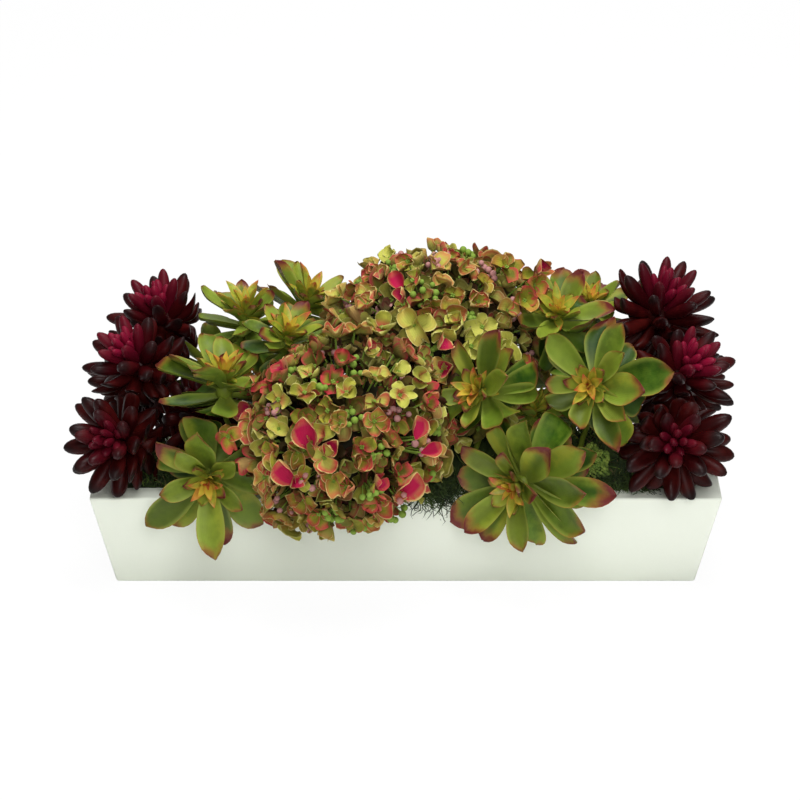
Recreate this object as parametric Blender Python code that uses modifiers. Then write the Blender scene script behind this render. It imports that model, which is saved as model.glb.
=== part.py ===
"""Hydrangea and succulent planter: a long flared trough holding foam, moss and an arrangement.

The arrangement has two hydrangea heads on a diagonal, green rosettes round them and dark
finger-leaved succulents at both ends. X runs along the trough, -Y is its front, +Z is up, and
the origin is the middle of the trough's underside. Sizes are in metres.
"""

import math
import random

import bmesh
import bpy
from mathutils import Matrix, Vector

# The trough
TROUGH_LENGTH = 0.610
TROUGH_DEPTH = 0.152
TROUGH_HEIGHT = 0.102
WALL_LEAN = 0.022
WALL = 0.008
LIP_WIDTH = 0.025
LIP_THICKNESS = 0.010
EDGE_ROUND = 0.0025

# What fills the trough
CLEARANCE = 0.0003
FOAM_TOP = 0.090
MOSS_TOP = 0.103
MOSS_CHAMFER = 0.0045
MOSS_GAP = 0.0006
FOAM_TAPER = 0.006
HOLE_SIDES = 4
STEM_RADIUS = 0.0027
STEM_DEPTH = 0.045
HOLE_RADIUS = 0.0045

# How plants keep clear of each other: near a neighbour a leaf is pressed flat over this depth
SOFT_DEPTH = 0.014
HALF_GAP = 0.0005
ABOVE_MOSS = MOSS_TOP + 0.002

GOLDEN_ANGLE = math.radians(137.508)
SHARP = math.radians(50)
JITTER = math.radians(5)
NECK = 0.019
STEM_GAP = 0.0015
SHORTER = (1.0, 0.85, 0.7, 0.55, 0.45, 0.35)

GREEN = (0.20, 0.34, 0.08, 1)
ORANGE = (0.72, 0.38, 0.08, 1)
BURGUNDY = (0.12, 0.012, 0.018, 1)
MAGENTA = (0.32, 0.02, 0.07, 1)
OLIVE_PINK = (0.46, 0.36, 0.14, 1)
STEM_GREEN = (0.14, 0.24, 0.06, 1)
MOSS_GREEN = (0.05, 0.09, 0.02, 1)
CLUMP_GREEN = (0.16, 0.28, 0.05, 1)
FOAM_GREEN = (0.16, 0.24, 0.14, 1)
WHITE = (0.80, 0.84, 0.76, 1)


def mm(x, y, z):
    return Vector((x, y, z)) * 0.001


# Every plant: the point its leaves spread from, the way it faces, its reach, the room it holds
# against a neighbour, its turn about its own axis in degrees, and where its stem enters the moss.
# Those that hang over the front or back rim keep above a plane through it, tilted by over.
# The low ones show only through gaps between the others, and their leaves are slender.
# The arrangement is drawn in a front view from 25 degrees above the level. There a plant's seen
# lists where the tips of its leaves show, in millimetres right of and above its centre.
PLANTS = {
    "hydrangea_front": dict(
        kind="hydrangea", centre=mm(-60, -82, 168), faces=(-0.05, -0.84, 0.54),
        reach=0.099, room=0.112, turn=20, foot=mm(-50, -30, 0), over=-36),
    "hydrangea_top": dict(
        kind="hydrangea", centre=mm(31, 42, 210), faces=(0.05, -0.22, 0.97),
        reach=0.106, room=0.122, turn=70, foot=mm(24, 18, 0)),
    "green_front_left": dict(
        kind="rosette", centre=mm(-186, -92, 138), faces=(-0.10, -0.99, -0.05),
        reach=0.084, room=0.084, turn=12, foot=mm(-180, -36, 0), over=-64,
        seen=((-71, 22), (-49, 29), (-13, 68), (-10, 38), (-29, 23), (-32, -25), (-63, -52),
              (-42, -52), (6, -81), (12, -70), (20, -39), (50, -52), (30, 3))),
    "green_left": dict(
        kind="rosette", centre=mm(-173, -60, 208), faces=(0.0, -0.05, 1.0),
        reach=0.086, room=0.070, turn=58, foot=mm(-158, -12, 0), heart=0.036,
        seen=((-79, 28), (-55, 31), (-56, -1), (-20, 65), (-1, 70), (39, 65), (44, 26), (23, -2),
              (-26, 19), (31, 21), (6, -36))),
    "green_left_back": dict(
        kind="rosette", centre=mm(-156, 38, 233), faces=(0.02, -0.05, 1.0),
        reach=0.074, room=0.066, turn=64, foot=mm(-143, 22, 0), heart=0.036,
        seen=((-71, 9), (-53, 34), (-31, 34), (-21, 25), (9, 26), (47, 34), (5, -22))),
    "green_top_left": dict(
        kind="rosette", centre=mm(-102, 74, 233), faces=(0.38, -0.03, 0.92),
        reach=0.070, room=0.066, turn=62, foot=mm(-80, 20, 0), heart=0.034,
        seen=((-28, 46), (-22, 51), (-7, 46), (0, 33), (18, 7), (51, 31))),
    "green_inner_left": dict(
        kind="rosette", centre=mm(-115, -15, 236), faces=(0.13, -0.35, 0.93),
        reach=0.068, room=0.066, turn=32, foot=mm(-104, -10, 0),
        seen=((-25, 10), (-19, -14), (-22, 26), (24, 0), (14, -24))),
    "green_front_right": dict(
        kind="rosette", centre=mm(114, -92, 130), faces=(-0.62, -0.78, -0.02),
        reach=0.090, room=0.090, turn=54, foot=mm(104, -36, 0), over=-64,
        seen=((-60, 36), (-64, 3), (-50, -16), (-71, -41), (-55, -49), (-40, -59), (0, -67),
              (9, -65), (48, -60), (55, -48), (84, -16), (55, -12), (55, 29), (21, 31), (-4, 64),
              (-33, 64), (52, 83))),
    "green_middle": dict(
        kind="rosette", centre=mm(76, -68, 210), faces=(-0.52, -0.72, 0.46),
        reach=0.082, room=0.068, turn=12, foot=mm(66, -18, 0),
        seen=((-26, 51), (12, 60), (27, 41), (22, 15), (67, 23), (63, -3), (-64, -31), (-54, 35),
              (-43, -3), (19, -46))),
    "green_right": dict(
        kind="rosette", centre=mm(180, -60, 214), faces=(-0.30, -0.85, 0.43),
        reach=0.086, room=0.072, turn=2, foot=mm(168, -20, 0),
        seen=((-51, 41), (-47, 52), (26, 31), (72, 13), (44, -6), (28, -33), (18, -67), (-35, -4),
              (-2, -39))),
    "green_inner_right": dict(
        kind="rosette", centre=mm(146, 8, 249), faces=(0.0, -0.45, 0.89),
        reach=0.084, room=0.066, turn=20, foot=mm(142, 0, 0),
        seen=((-80, 0), (-64, 12), (-53, -10), (-16, 37), (47, 28), (56, 8), (40, -22), (-18, -27))),
    "green_top_right": dict(
        kind="rosette", centre=mm(181, 82, 227), faces=(0.05, -0.24, 0.97),
        reach=0.068, room=0.060, turn=46, foot=mm(164, 14, 0),
        seen=((-20, 26), (16, 31), (49, 1), (-34, 11), (28, 11))),
    "green_back_left": dict(
        kind="rosette", centre=mm(-106, 108, 140), faces=(0.15, 0.80, 0.58),
        reach=0.082, room=0.076, turn=55, foot=mm(-96, 40, 0), over=60),
    "green_back_far_left": dict(
        kind="rosette", centre=mm(-188, 88, 152), faces=(-0.05, 0.75, 0.66),
        reach=0.082, room=0.070, turn=300, foot=mm(-176, 36, 0), over=60),
    "green_back_right": dict(
        kind="rosette", centre=mm(178, 114, 136), faces=(-0.10, 0.80, 0.58),
        reach=0.084, room=0.078, turn=180, foot=mm(196, 38, 0), over=60),
    "green_low_right": dict(
        kind="rosette", centre=mm(124, -4, 154), faces=(0.0, -0.50, 0.86),
        reach=0.066, room=0.060, turn=5, foot=mm(120, 2, 0), heart=0.024, breadth=0.32),
    "burgundy_left_front": dict(
        kind="finger", centre=mm(-271, -62, 157), faces=(-0.36, -0.82, 0.44),
        reach=0.064, room=0.064, turn=0, foot=mm(-244, -30, 0)),
    "burgundy_left_middle": dict(
        kind="finger", centre=mm(-256, -14, 213), faces=(-0.46, -0.30, 0.86),
        reach=0.060, room=0.060, turn=50, foot=mm(-224, -6, 0)),
    "burgundy_left_top": dict(
        kind="finger", centre=mm(-235, 46, 232), faces=(-0.28, -0.12, 0.96),
        reach=0.060, room=0.058, turn=110, foot=mm(-204, 14, 0)),
    "burgundy_low_left": dict(
        kind="slim", centre=mm(-194, 0, 158), faces=(-0.10, -0.55, 0.83),
        reach=0.070, room=0.062, turn=20, foot=mm(-190, 6, 0), breadth=0.30),
    "burgundy_left_back": dict(
        kind="finger", centre=mm(-262, 78, 154), faces=(-0.12, 0.75, 0.65),
        reach=0.060, room=0.060, turn=170, foot=mm(-240, 36, 0)),
    "burgundy_right_front": dict(
        kind="finger", centre=mm(257, -62, 154), faces=(0.03, -0.86, 0.52),
        reach=0.063, room=0.063, turn=20, foot=mm(226, -30, 0)),
    "burgundy_right_middle": dict(
        kind="finger", centre=mm(264, -14, 203), faces=(0.38, -0.46, 0.81),
        reach=0.061, room=0.060, turn=75, foot=mm(228, -4, 0)),
    "burgundy_right_top": dict(
        kind="finger", centre=mm(246, 46, 239), faces=(0.24, -0.12, 0.96),
        reach=0.067, room=0.063, turn=140, foot=mm(212, 14, 0)),
    "burgundy_right_back": dict(
        kind="finger", centre=mm(266, 78, 156), faces=(0.15, 0.75, 0.65),
        reach=0.060, room=0.060, turn=200, foot=mm(238, 38, 0)),
}

# The pale lichen clump at the front right, which stands on the moss
CLUMP_CENTRE = mm(178, -42, 120)
CLUMP_SIZE = mm(40, 26, 44)
CLUMP_ROOM = 0.020

# Leaves: share of the length, share of the breadth, and how far the edges rise, in breadths
BROAD_LEAF = ((0.34, 0.70, 0.10), (0.70, 0.96, 0.12))
HEART_LEAF = ((0.58, 1.0, 0.10),)
FINGER_LEAF = ((0.50, 0.92), (0.84, 0.92))
HEART_FINGER = ((0.68, 1.0),)

# Rosettes: leaves grow in whorls of five, from the diamonds of a short lathed crown.
# The crown's rings are given as height and radius, a whorl as polar angle and share of the reach.
ROSETTE_WHORL = 5
ROSETTE_CROWN = (
    (-0.0095, 0.0050), (-0.0045, 0.0080), (0.0005, 0.0085), (0.0050, 0.0072), (0.0090, 0.0052))
ROSETTE_WHORLS = ((98, 1.0), (76, 0.90), (52, 0.74))
ROSETTE_TWIST = math.radians(11)
LEAF_WIDTH = 0.38
UNSEEN_SHARE = 0.86
LEAF_THICKNESS = 0.0036

# The front view: which way is up in it, which way is out of it, how far a leaf leans for it, and
# how near the axis it may come, where the heart is
VIEW_UP = Vector((0, math.sin(math.radians(25)), math.cos(math.radians(25))))
VIEW_FRONT = Vector((0, -math.cos(math.radians(25)), math.sin(math.radians(25))))
MOST_LEAN = math.radians(30)
LEAST_POLAR = math.radians(50)

HEART_WHORL = 3
HEART_CROWN = ((0.0, 0.0042), (0.0022, 0.0046), (0.0048, 0.0036), (0.0070, 0.0018))
HEART_WHORLS = ((46, 1.0), (24, 0.86))
HEART_LENGTH = 0.029
HEART_WIDTH = 0.42

# Dark succulents: round leaves in whorls of six, from the diamonds of a ball
FINGER_WHORL = 6
FINGER_BALL = 0.0170
FINGER_BALL_POLARS = (158, 137, 116, 95, 74, 54, 36)
FINGER_WHORLS = ((135, 0.98), (112, 1.0), (90, 1.0), (68, 0.97), (46, 0.90))
FINGER_TWIST = math.radians(9)
FINGER_RADIUS = 0.0095
FINGER_HEART_CROWN = ((0.0, 0.0056), (0.0035, 0.0060), (0.0070, 0.0044), (0.0100, 0.0022))
FINGER_HEART_WHORLS = ((35, 1.0), (16, 0.94))
FINGER_HEART_REACH = 0.58

FLORETS = 60
FLORET_RADIUS = 0.0225
SEPAL_THICKNESS = 0.0035
CAP_POLAR = math.radians(112)
CORE_SHARE = 0.78
CORE_FLAT = 0.62
HEAD_HEIGHT = 0.89
BUDS = 8
BUD_RADIUS = 0.0045


def spread(axis):
    """Three unit vectors: two across the axis, and the axis itself."""
    along = Vector(axis).normalized()
    across = Vector((1, 0, 0)) - along * along.x
    if across.length < 0.2:
        across = Vector((0, 1, 0)) - along * along.y
    across.normalize()
    return across, along.cross(across), along


def toward(frame, azimuth, polar):
    """The unit vector at an azimuth about the frame's axis and a polar angle from it."""
    u, v, along = frame
    outward = u * math.cos(azimuth) + v * math.sin(azimuth)
    return outward * math.sin(polar) + along * math.cos(polar)


def neighbour_walls(name):
    """The walls round one plant's room: each is a point on the wall and its outward normal."""
    plant = PLANTS[name]
    sites = [(other["centre"], other["room"]) for key, other in PLANTS.items() if key != name]
    sites.append((CLUMP_CENTRE, CLUMP_ROOM))
    walls = []
    for centre, room in sites:
        away = centre - plant["centre"]
        distance = away.length
        offset = (distance ** 2 + plant["room"] ** 2 - room ** 2) / (2 * distance)
        if offset < plant["reach"] + SOFT_DEPTH:
            normal = away / distance
            walls.append((plant["centre"] + normal * (offset - HALF_GAP), normal))
    tilt = math.radians(plant.get("over", 0))
    edge = Vector((0, math.copysign(TROUGH_DEPTH / 2 + 0.002, tilt), ABOVE_MOSS))
    walls.append((edge, Vector((0, -math.sin(tilt), -math.cos(tilt)))))
    return walls


def squeezed(point, walls):
    """The point pressed back from every wall that it comes near or passes."""
    most = SOFT_DEPTH
    for at, normal in walls:
        past = (point - at).dot(normal) + SOFT_DEPTH
        if past > 0:
            point = point - normal * (past - most * (1 - math.exp(-past / most)))
    return point


def loft(rings, tip):
    """A closed mesh through rings of equally many points, with a flat first cap and a pointed end."""
    sides = len(rings[0])
    points = [p for ring in rings for p in ring]
    faces = []
    for step in range(len(rings) - 1):
        low, high = step * sides, (step + 1) * sides
        for i in range(sides):
            j = (i + 1) % sides
            faces.append((low + i, low + j, high + j))
            faces.append((low + i, high + j, high + i))
    last = (len(rings) - 1) * sides
    for i in range(1, sides - 1):
        faces.append((0, i + 1, i))
    points.append(tip)
    for i in range(sides):
        faces.append((last + i, last + (i + 1) % sides, len(points) - 1))
    return points, faces


def circle(centre, axis, radius, sides, turn=0.0):
    u, v, _ = spread(axis)
    angles = [turn + 2 * math.pi * i / sides for i in range(sides)]
    return [centre + (u * math.cos(a) + v * math.sin(a)) * radius for a in angles]


def leaf_line(root, frame, azimuth, polar, length, bend):
    """Returns a function giving place, direction and face normal along a leaf's arched midrib."""
    u, v, along = frame
    outward = u * math.cos(azimuth) + v * math.sin(azimuth)

    def at(share):
        angle = polar + bend * (share - 0.5)
        mean = polar + bend * (share / 2 - 0.5)
        place = root + (outward * math.sin(mean) + along * math.cos(mean)) * length * share
        direction = outward * math.sin(angle) + along * math.cos(angle)
        face = along * math.sin(angle) - outward * math.cos(angle)
        return place, direction, face

    return at


def blade_sections(at, width, thickness, profile, roll):
    """A fleshy leaf's sections: keel, right edge, midrib and left edge."""
    sections = []
    for share, breadth, lift in profile:
        place, direction, face = at(share)
        turned = Matrix.Rotation(roll * share, 3, direction)
        side = (turned @ face.cross(direction)) * (width * breadth / 2)
        up = turned @ face
        edge = up * (width * lift)
        sections.append([place - up * thickness, place + side + edge, place, place - side + edge])
    return sections


def finger_sections(at, radius, profile):
    """A plump leaf's sections, in the same order."""
    sections = []
    for share, breadth in profile:
        place, direction, face = at(share)
        side = face.cross(direction) * radius * breadth
        up = face * radius * breadth
        sections.append([place - up, place + side, place + up, place - side])
    return sections


def whorl_azimuth(turn, twist, row, j, whorl):
    """The azimuth of one leaf: each whorl turns by half a step and a little more."""
    return turn + twist * (row + 1) + 2 * math.pi * (j + row / 2) / whorl


def grow(frame, centre, crown, whorl, twist, turn, leaf, walls, under=()):
    """One closed body: a lathed crown whose diamonds are each drawn out into a leaf.

    The crown's rings turn by half a step each, so that their corners make rows of diamonds.
    leaf(row, j, azimuth) gives a leaf's sections and its tip, which keep inside the walls.
    The rings in under, of a stem, carry the body on below its crown.
    """
    u, v, along = frame
    points = []
    rings = []
    for level, (height, radius) in enumerate(crown):
        ring = []
        for j in range(whorl):
            angle = turn + twist * level + 2 * math.pi * (j + level / 2) / whorl
            ring.append(len(points))
            outward = u * math.cos(angle) + v * math.sin(angle)
            points.append(centre + along * height + outward * radius)
        rings.append(ring)
    faces = []

    def wall(low, high):
        """Joins two rings; on a leaf both faces are split alike, so that a thin twisted one holds."""
        for i in range(len(low)):
            j = (i + 1) % len(low)
            if i % 2:
                faces.extend([(low[i], low[j], high[i]), (low[j], high[j], high[i])])
            else:
                faces.extend([(low[i], low[j], high[j]), (low[i], high[j], high[i])])

    top = len(crown) - 1
    for j in range(whorl):
        faces.append((rings[0][j - 1], rings[0][j], rings[1][j - 1]))
        faces.append((rings[top - 1][j], rings[top][j], rings[top][j - 1]))
    faces.append(tuple(rings[top]))
    for row in range(top - 1):
        for j in range(whorl):
            corners = [rings[row][j], rings[row + 1][j], rings[row + 2][j - 1], rings[row + 1][j - 1]]
            azimuth = whorl_azimuth(turn, twist, row, j, whorl)
            sections, tip = leaf(row, j, azimuth)
            for section in sections:
                outer = list(range(len(points), len(points) + 4))
                points += [squeezed(p, walls) for p in section]
                wall(corners, outer)
                corners = outer
            points.append(squeezed(tip, walls))
            for i in range(4):
                faces.append((corners[i], corners[(i + 1) % 4], len(points) - 1))
    low = rings[0]
    for ring in under:
        shift = min(range(whorl), key=lambda k: sum(
            (points[low[i]] - ring[(i + k) % whorl]).length for i in range(whorl)))
        lower = list(range(len(points), len(points) + whorl))
        points += [ring[(i + shift) % whorl] for i in range(whorl)]
        wall(lower, low)
        low = lower
    faces.append(tuple(reversed(low)))
    return points, faces


def stem_line(plant, head):
    """Places down a stem from its head: it leaves along the axis, bends, and is straight in the foam."""
    foot = Vector((plant["foot"].x, plant["foot"].y, MOSS_TOP + 0.006))
    along = Vector(plant["faces"]).normalized()
    rise = Vector((0, 0, 1)) * (head - foot).length * 0.4
    fall = along * (head - foot).length * 0.3
    middle = (foot + (foot + rise) * 3 + (head - fall) * 3 + head) / 8
    places = [head, middle, foot, Vector((foot.x, foot.y, STEM_DEPTH))]
    headings = [along, head - fall - foot - rise, Vector((0, 0, 1)), Vector((0, 0, 1))]
    return places, headings


def stem_rings(plant, sides, head):
    places, headings = stem_line(plant, head)
    return [circle(place, heading, STEM_RADIUS, sides) for place, heading in zip(places, headings)]


def other_stems(name):
    """The bent parts of every other plant's stem, as pairs of ends."""
    pairs = []
    for key, plant in PLANTS.items():
        if key != name:
            head, middle, foot, _ = stem_line(plant, plant["centre"])[0]
            pairs += [(head, middle), (middle, foot)]
    return pairs


def clears(at, half_width, stems):
    """Whether a leaf's midrib keeps its breadth away from every other stem."""
    for share in (0.3, 0.5, 0.7, 0.85, 1.0):
        place = at(share)[0]
        need = half_width * min(1.0, 0.35 + share) + STEM_RADIUS + STEM_GAP
        for low, high in stems:
            run = high - low
            part = max(0.0, min(1.0, (place - low).dot(run) / run.length_squared))
            if (place - low - run * part).length < need:
                return False
    return True


def leaves_to_tips(plant, frame):
    """The runs of the leaves that meet the tips in seen, by their row and place in the whorl.

    Each tip takes the free leaf that points most nearly its way, on the near or the far side.
    """
    pairs = []
    for row, (polar, share) in enumerate(ROSETTE_WHORLS):
        for j in range(ROSETTE_WHORL):
            azimuth = whorl_azimuth(math.radians(plant["turn"]), ROSETTE_TWIST, row, j, ROSETTE_WHORL)
            ahead = toward(frame, azimuth, math.radians(polar))
            for tip, (right, above) in enumerate(plant.get("seen", ())):
                flat = mm(right, 0, 0) + VIEW_UP * above * 0.001
                length = max(plant["reach"] * share, flat.length * 1.02)
                depth = VIEW_FRONT * math.sqrt(length ** 2 - flat.length_squared)
                for run in (flat + depth, flat - depth):
                    if frame[2].angle(run) > LEAST_POLAR:
                        pairs.append((ahead.angle(run), tip, (row, j), run))
    runs, met = {}, set()
    for lean, tip, place, run in sorted(pairs, key=lambda pair: pair[0]):
        if lean < MOST_LEAN and tip not in met and place not in runs:
            met.add(tip)
            runs[place] = run
    return runs


def rosette(name, plant, draw):
    """A rosette: three whorls of leaves round a short crown, on its stem."""
    breadth = plant.get("breadth", LEAF_WIDTH)
    frame = spread(plant["faces"])
    stems = other_stems(name)
    runs = leaves_to_tips(plant, frame)

    def leaf(row, j, azimuth):
        polar, share = ROSETTE_WHORLS[row]
        length = plant["reach"] * share * draw.uniform(0.90, 1.06)
        root = plant["centre"] + frame[2] * ROSETTE_CROWN[row + 1][0]
        azimuth += draw.uniform(-JITTER, JITTER)
        polar = math.radians(polar) + draw.uniform(-JITTER, JITTER)
        bend = draw.uniform(0.0, 0.5)
        roll = draw.uniform(-0.3, 0.3)
        if (row, j) in runs:
            run = runs[row, j]
            length = run.length
            azimuth = math.atan2(run.dot(frame[1]), run.dot(frame[0]))
            polar = frame[2].angle(run)
        elif runs:
            length *= UNSEEN_SHARE
        for shorter in SHORTER:
            at = leaf_line(root, frame, azimuth, polar, length * shorter, bend)
            if clears(at, length * shorter * breadth / 2, stems):
                break
        width = length * shorter * breadth
        return blade_sections(at, width, LEAF_THICKNESS, BROAD_LEAF, roll), at(1.0)[0]

    rings = stem_rings(plant, ROSETTE_WHORL, plant["centre"] - frame[2] * NECK)
    return grow(
        frame, plant["centre"], ROSETTE_CROWN, ROSETTE_WHORL, ROSETTE_TWIST,
        math.radians(plant["turn"]), leaf, neighbour_walls(name), rings)


def rosette_heart(name, plant, draw):
    """The small upright orange leaves in the middle of a rosette, seated on its crown."""
    frame = spread(plant["faces"])
    seat = plant["centre"] + frame[2] * (ROSETTE_CROWN[-1][0] + CLEARANCE)

    def leaf(row, _, azimuth):
        polar, share = HEART_WHORLS[row]
        length = plant.get("heart", HEART_LENGTH) * share * draw.uniform(0.90, 1.08)
        at = leaf_line(
            seat + frame[2] * HEART_CROWN[row + 1][0], frame, azimuth,
            math.radians(polar) + draw.uniform(-JITTER, JITTER) / 2, length, draw.uniform(-0.1, 0.2))
        sections = blade_sections(at, length * HEART_WIDTH, 0.0022, HEART_LEAF, draw.uniform(-0.2, 0.2))
        return sections, at(1.0)[0]

    return grow(
        frame, seat, HEART_CROWN, HEART_WHORL, ROSETTE_TWIST,
        math.radians(plant["turn"] + 40), leaf, neighbour_walls(name))


def finger_head(name, plant, draw):
    """A dark succulent: plump leaves all round a small ball, on its stem."""
    frame = spread(plant["faces"])
    stems = other_stems(name)

    def leaf(row, _, azimuth):
        polar, share = FINGER_WHORLS[row]
        length = plant["reach"] * share * draw.uniform(0.92, 1.05)
        azimuth += draw.uniform(-JITTER, JITTER) / 2
        polar = math.radians(polar) + draw.uniform(-JITTER, JITTER) / 2
        bend = draw.uniform(-0.3, 0.0)
        radius = FINGER_RADIUS * draw.uniform(0.94, 1.06)
        for shorter in SHORTER:
            at = leaf_line(plant["centre"], frame, azimuth, polar, length * shorter, bend)
            if clears(at, radius, stems):
                break
        return finger_sections(at, radius, FINGER_LEAF if row else HEART_FINGER), at(1.0)[0]

    crown = [
        (FINGER_BALL * math.cos(math.radians(polar)), FINGER_BALL * math.sin(math.radians(polar)))
        for polar in FINGER_BALL_POLARS]
    rings = stem_rings(plant, FINGER_WHORL, plant["centre"] - frame[2] * NECK)
    return grow(
        frame, plant["centre"], crown, FINGER_WHORL, FINGER_TWIST,
        math.radians(plant["turn"]), leaf, neighbour_walls(name), rings)


def finger_heart(name, plant, draw):
    """The magenta young leaves in the middle of a dark succulent, seated on its ball."""
    frame = spread(plant["faces"])
    top = FINGER_BALL * math.cos(math.radians(FINGER_BALL_POLARS[-1]))
    seat = plant["centre"] + frame[2] * (top + CLEARANCE)

    def leaf(row, _, azimuth):
        polar, share = FINGER_HEART_WHORLS[row]
        length = plant["reach"] * FINGER_HEART_REACH * share * draw.uniform(0.94, 1.06)
        at = leaf_line(
            seat + frame[2] * FINGER_HEART_CROWN[row][0], frame, azimuth,
            math.radians(polar), length, draw.uniform(-0.15, 0.0))
        return finger_sections(at, FINGER_RADIUS * 0.50, HEART_FINGER), at(1.0)[0]

    return grow(
        frame, seat, FINGER_HEART_CROWN, HEART_WHORL, FINGER_TWIST,
        math.radians(plant["turn"] + 25), leaf, neighbour_walls(name))


def cap_directions(count, widest):
    """Directions spread evenly over a cap, as (azimuth, polar), from its middle out."""
    for i in range(count):
        cosine = 1 - (1 - math.cos(widest)) * (i + 0.5) / count
        yield i * GOLDEN_ANGLE, math.acos(cosine)


def floret(middle, normal, radius, turn, root, lifts):
    """Four round sepals in one lobed outline, thin at the rim, on a stalk that runs down to root."""
    u, v, n = spread(normal)
    points = []
    for lobe in range(4):
        for offset, share, lift in ((-45, 0.42, 0.0), (-24, 1.0, 1.0), (24, 1.0, 1.0)):
            angle = turn + math.radians(90 * lobe + offset)
            outward = u * math.cos(angle) + v * math.sin(angle)
            points.append(middle + outward * radius * share + n * lifts[lobe] * lift)
    points += [middle + n * SEPAL_THICKNESS, root]
    rim, top, apex = 12, 12, 13
    faces = [(i, (i + 1) % rim, top) for i in range(rim)]
    for notch in range(0, rim, 3):
        following = (notch + 3) % rim
        faces.append((notch + 2, notch + 1, notch))
        faces.append((following, notch + 2, notch))
        faces.append((following, notch, apex))
    return points, faces


def hydrangea(name, plant, draw):
    """A hydrangea head: lobed florets over a smaller core, with stalked buds among them.

    It is lower than it is wide.
    """
    frame = spread(plant["faces"])
    centre, reach = plant["centre"], plant["reach"]
    walls = neighbour_walls(name)
    core = reach * CORE_SHARE
    pieces = [core_ball(plant, core)]
    turn = math.radians(plant["turn"])
    for azimuth, polar in cap_directions(FLORETS, CAP_POLAR):
        azimuth += turn
        outward = toward(frame, azimuth, polar)
        lean = Vector([draw.uniform(-0.16, 0.16) for _ in range(3)])
        middle = centre + outward * (reach - draw.uniform(0.0, 0.010))
        lifts = [draw.uniform(-0.004, 0.004) for _ in range(4)]
        radius = FLORET_RADIUS * draw.uniform(0.90, 1.06)
        root = centre + outward * (core - 0.006)
        pieces.append(floret(middle, outward + lean, radius, draw.uniform(0, math.pi / 2), root, lifts))
    for azimuth, polar in cap_directions(BUDS, CAP_POLAR * 0.85):
        azimuth += turn + 0.6
        outward = toward(frame, azimuth, polar)
        pieces.append(bud(centre + outward * (core - 0.004), outward, reach + 0.002 - core))
    lower = Vector((1, 1, HEAD_HEIGHT))
    return [
        ([squeezed(centre + (p - centre) * lower, walls) for p in points], faces) for points, faces in pieces]


def bud(root, outward, length):
    """A cluster of closed buds, as one knob on a stalk."""
    rings = [circle(root, outward, 0.0012, 3), circle(root + outward * length, outward, BUD_RADIUS, 3)]
    return loft(rings, root + outward * (length + 0.004))


def core_ball(plant, radius):
    """The ball under the florets, flat behind, where the stem meets it."""
    frame = Matrix(spread(plant["faces"])).transposed()
    bm = bmesh.new()
    bmesh.ops.create_uvsphere(bm, u_segments=8, v_segments=6, radius=radius)
    bmesh.ops.triangulate(bm, faces=bm.faces)
    for vert in bm.verts:
        vert.co.z = max(vert.co.z, -radius * CORE_FLAT)
    points = [plant["centre"] + frame @ vert.co for vert in bm.verts]
    faces = [tuple(vert.index for vert in face.verts) for face in bm.faces]
    bm.free()
    return points, faces


def hydrangea_stem(name, plant):
    """The stem under a hydrangea head, which it all but touches: a bevelled curve."""
    along = Vector(plant["faces"]).normalized()
    flat = -along * plant["reach"] * CORE_SHARE * CORE_FLAT * Vector((1, 1, HEAD_HEIGHT))
    head = squeezed(plant["centre"] + flat, neighbour_walls(name)) - along * CLEARANCE
    places = stem_line(plant, head)[0]
    places.insert(1, head - along * 0.014)
    curve = bpy.data.curves.new(name + "_stem", "CURVE")
    curve.dimensions = "3D"
    curve.bevel_depth = STEM_RADIUS
    curve.bevel_resolution = 0
    curve.use_fill_caps = True
    spline = curve.splines.new("POLY")
    spline.points.add(len(places) - 1)
    for point, place in zip(spline.points, places):
        point.co = (*(place - plant["centre"]), 1)
    made = bpy.data.objects.new(name + "_stem", curve)
    made.location = plant["centre"]
    model.objects.link(made)
    return made


def new_object(name, mesh_data, collection, origin=Vector()):
    points, faces = mesh_data
    mesh = bpy.data.meshes.new(name)
    mesh.from_pydata([tuple(p - origin) for p in points], [], faces)
    made = bpy.data.objects.new(name, mesh)
    made.location = origin
    collection.objects.link(made)
    return made


def painted(made, colour, roughness):
    """Gives the object its own plain material and smooth shading over its gentle angles."""
    material = bpy.data.materials.new(made.name + "_finish")
    material.use_nodes = True
    shader = material.node_tree.nodes["Principled BSDF"]
    shader.inputs["Base Color"].default_value = colour
    shader.inputs["Roughness"].default_value = roughness
    shader.inputs["Metallic"].default_value = 0.0
    material.diffuse_color = colour
    made.data.materials.clear()
    made.data.materials.append(material)
    if made.type == "MESH":
        made.data.shade_smooth()
        made.data.set_sharp_from_angle(angle=SHARP)


def keep_largest_shell(mesh):
    """Fills hollows that fusing sealed and drops loose scraps, so that one shell is left."""
    bm = bmesh.new()
    bm.from_mesh(mesh)
    bm.verts.ensure_lookup_table()
    seen, shells = set(), []
    for start in bm.verts:
        if start.index in seen:
            continue
        shell, waiting = [], [start]
        seen.add(start.index)
        while waiting:
            vert = waiting.pop()
            shell.append(vert)
            for edge in vert.link_edges:
                other = edge.other_vert(vert)
                if other.index not in seen:
                    seen.add(other.index)
                    waiting.append(other)
        shells.append(shell)
    largest = max(shells, key=len)
    scraps = [vert for shell in shells if shell is not largest for vert in shell]
    bmesh.ops.delete(bm, geom=scraps, context="VERTS")
    bm.to_mesh(mesh)
    bm.free()


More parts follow.
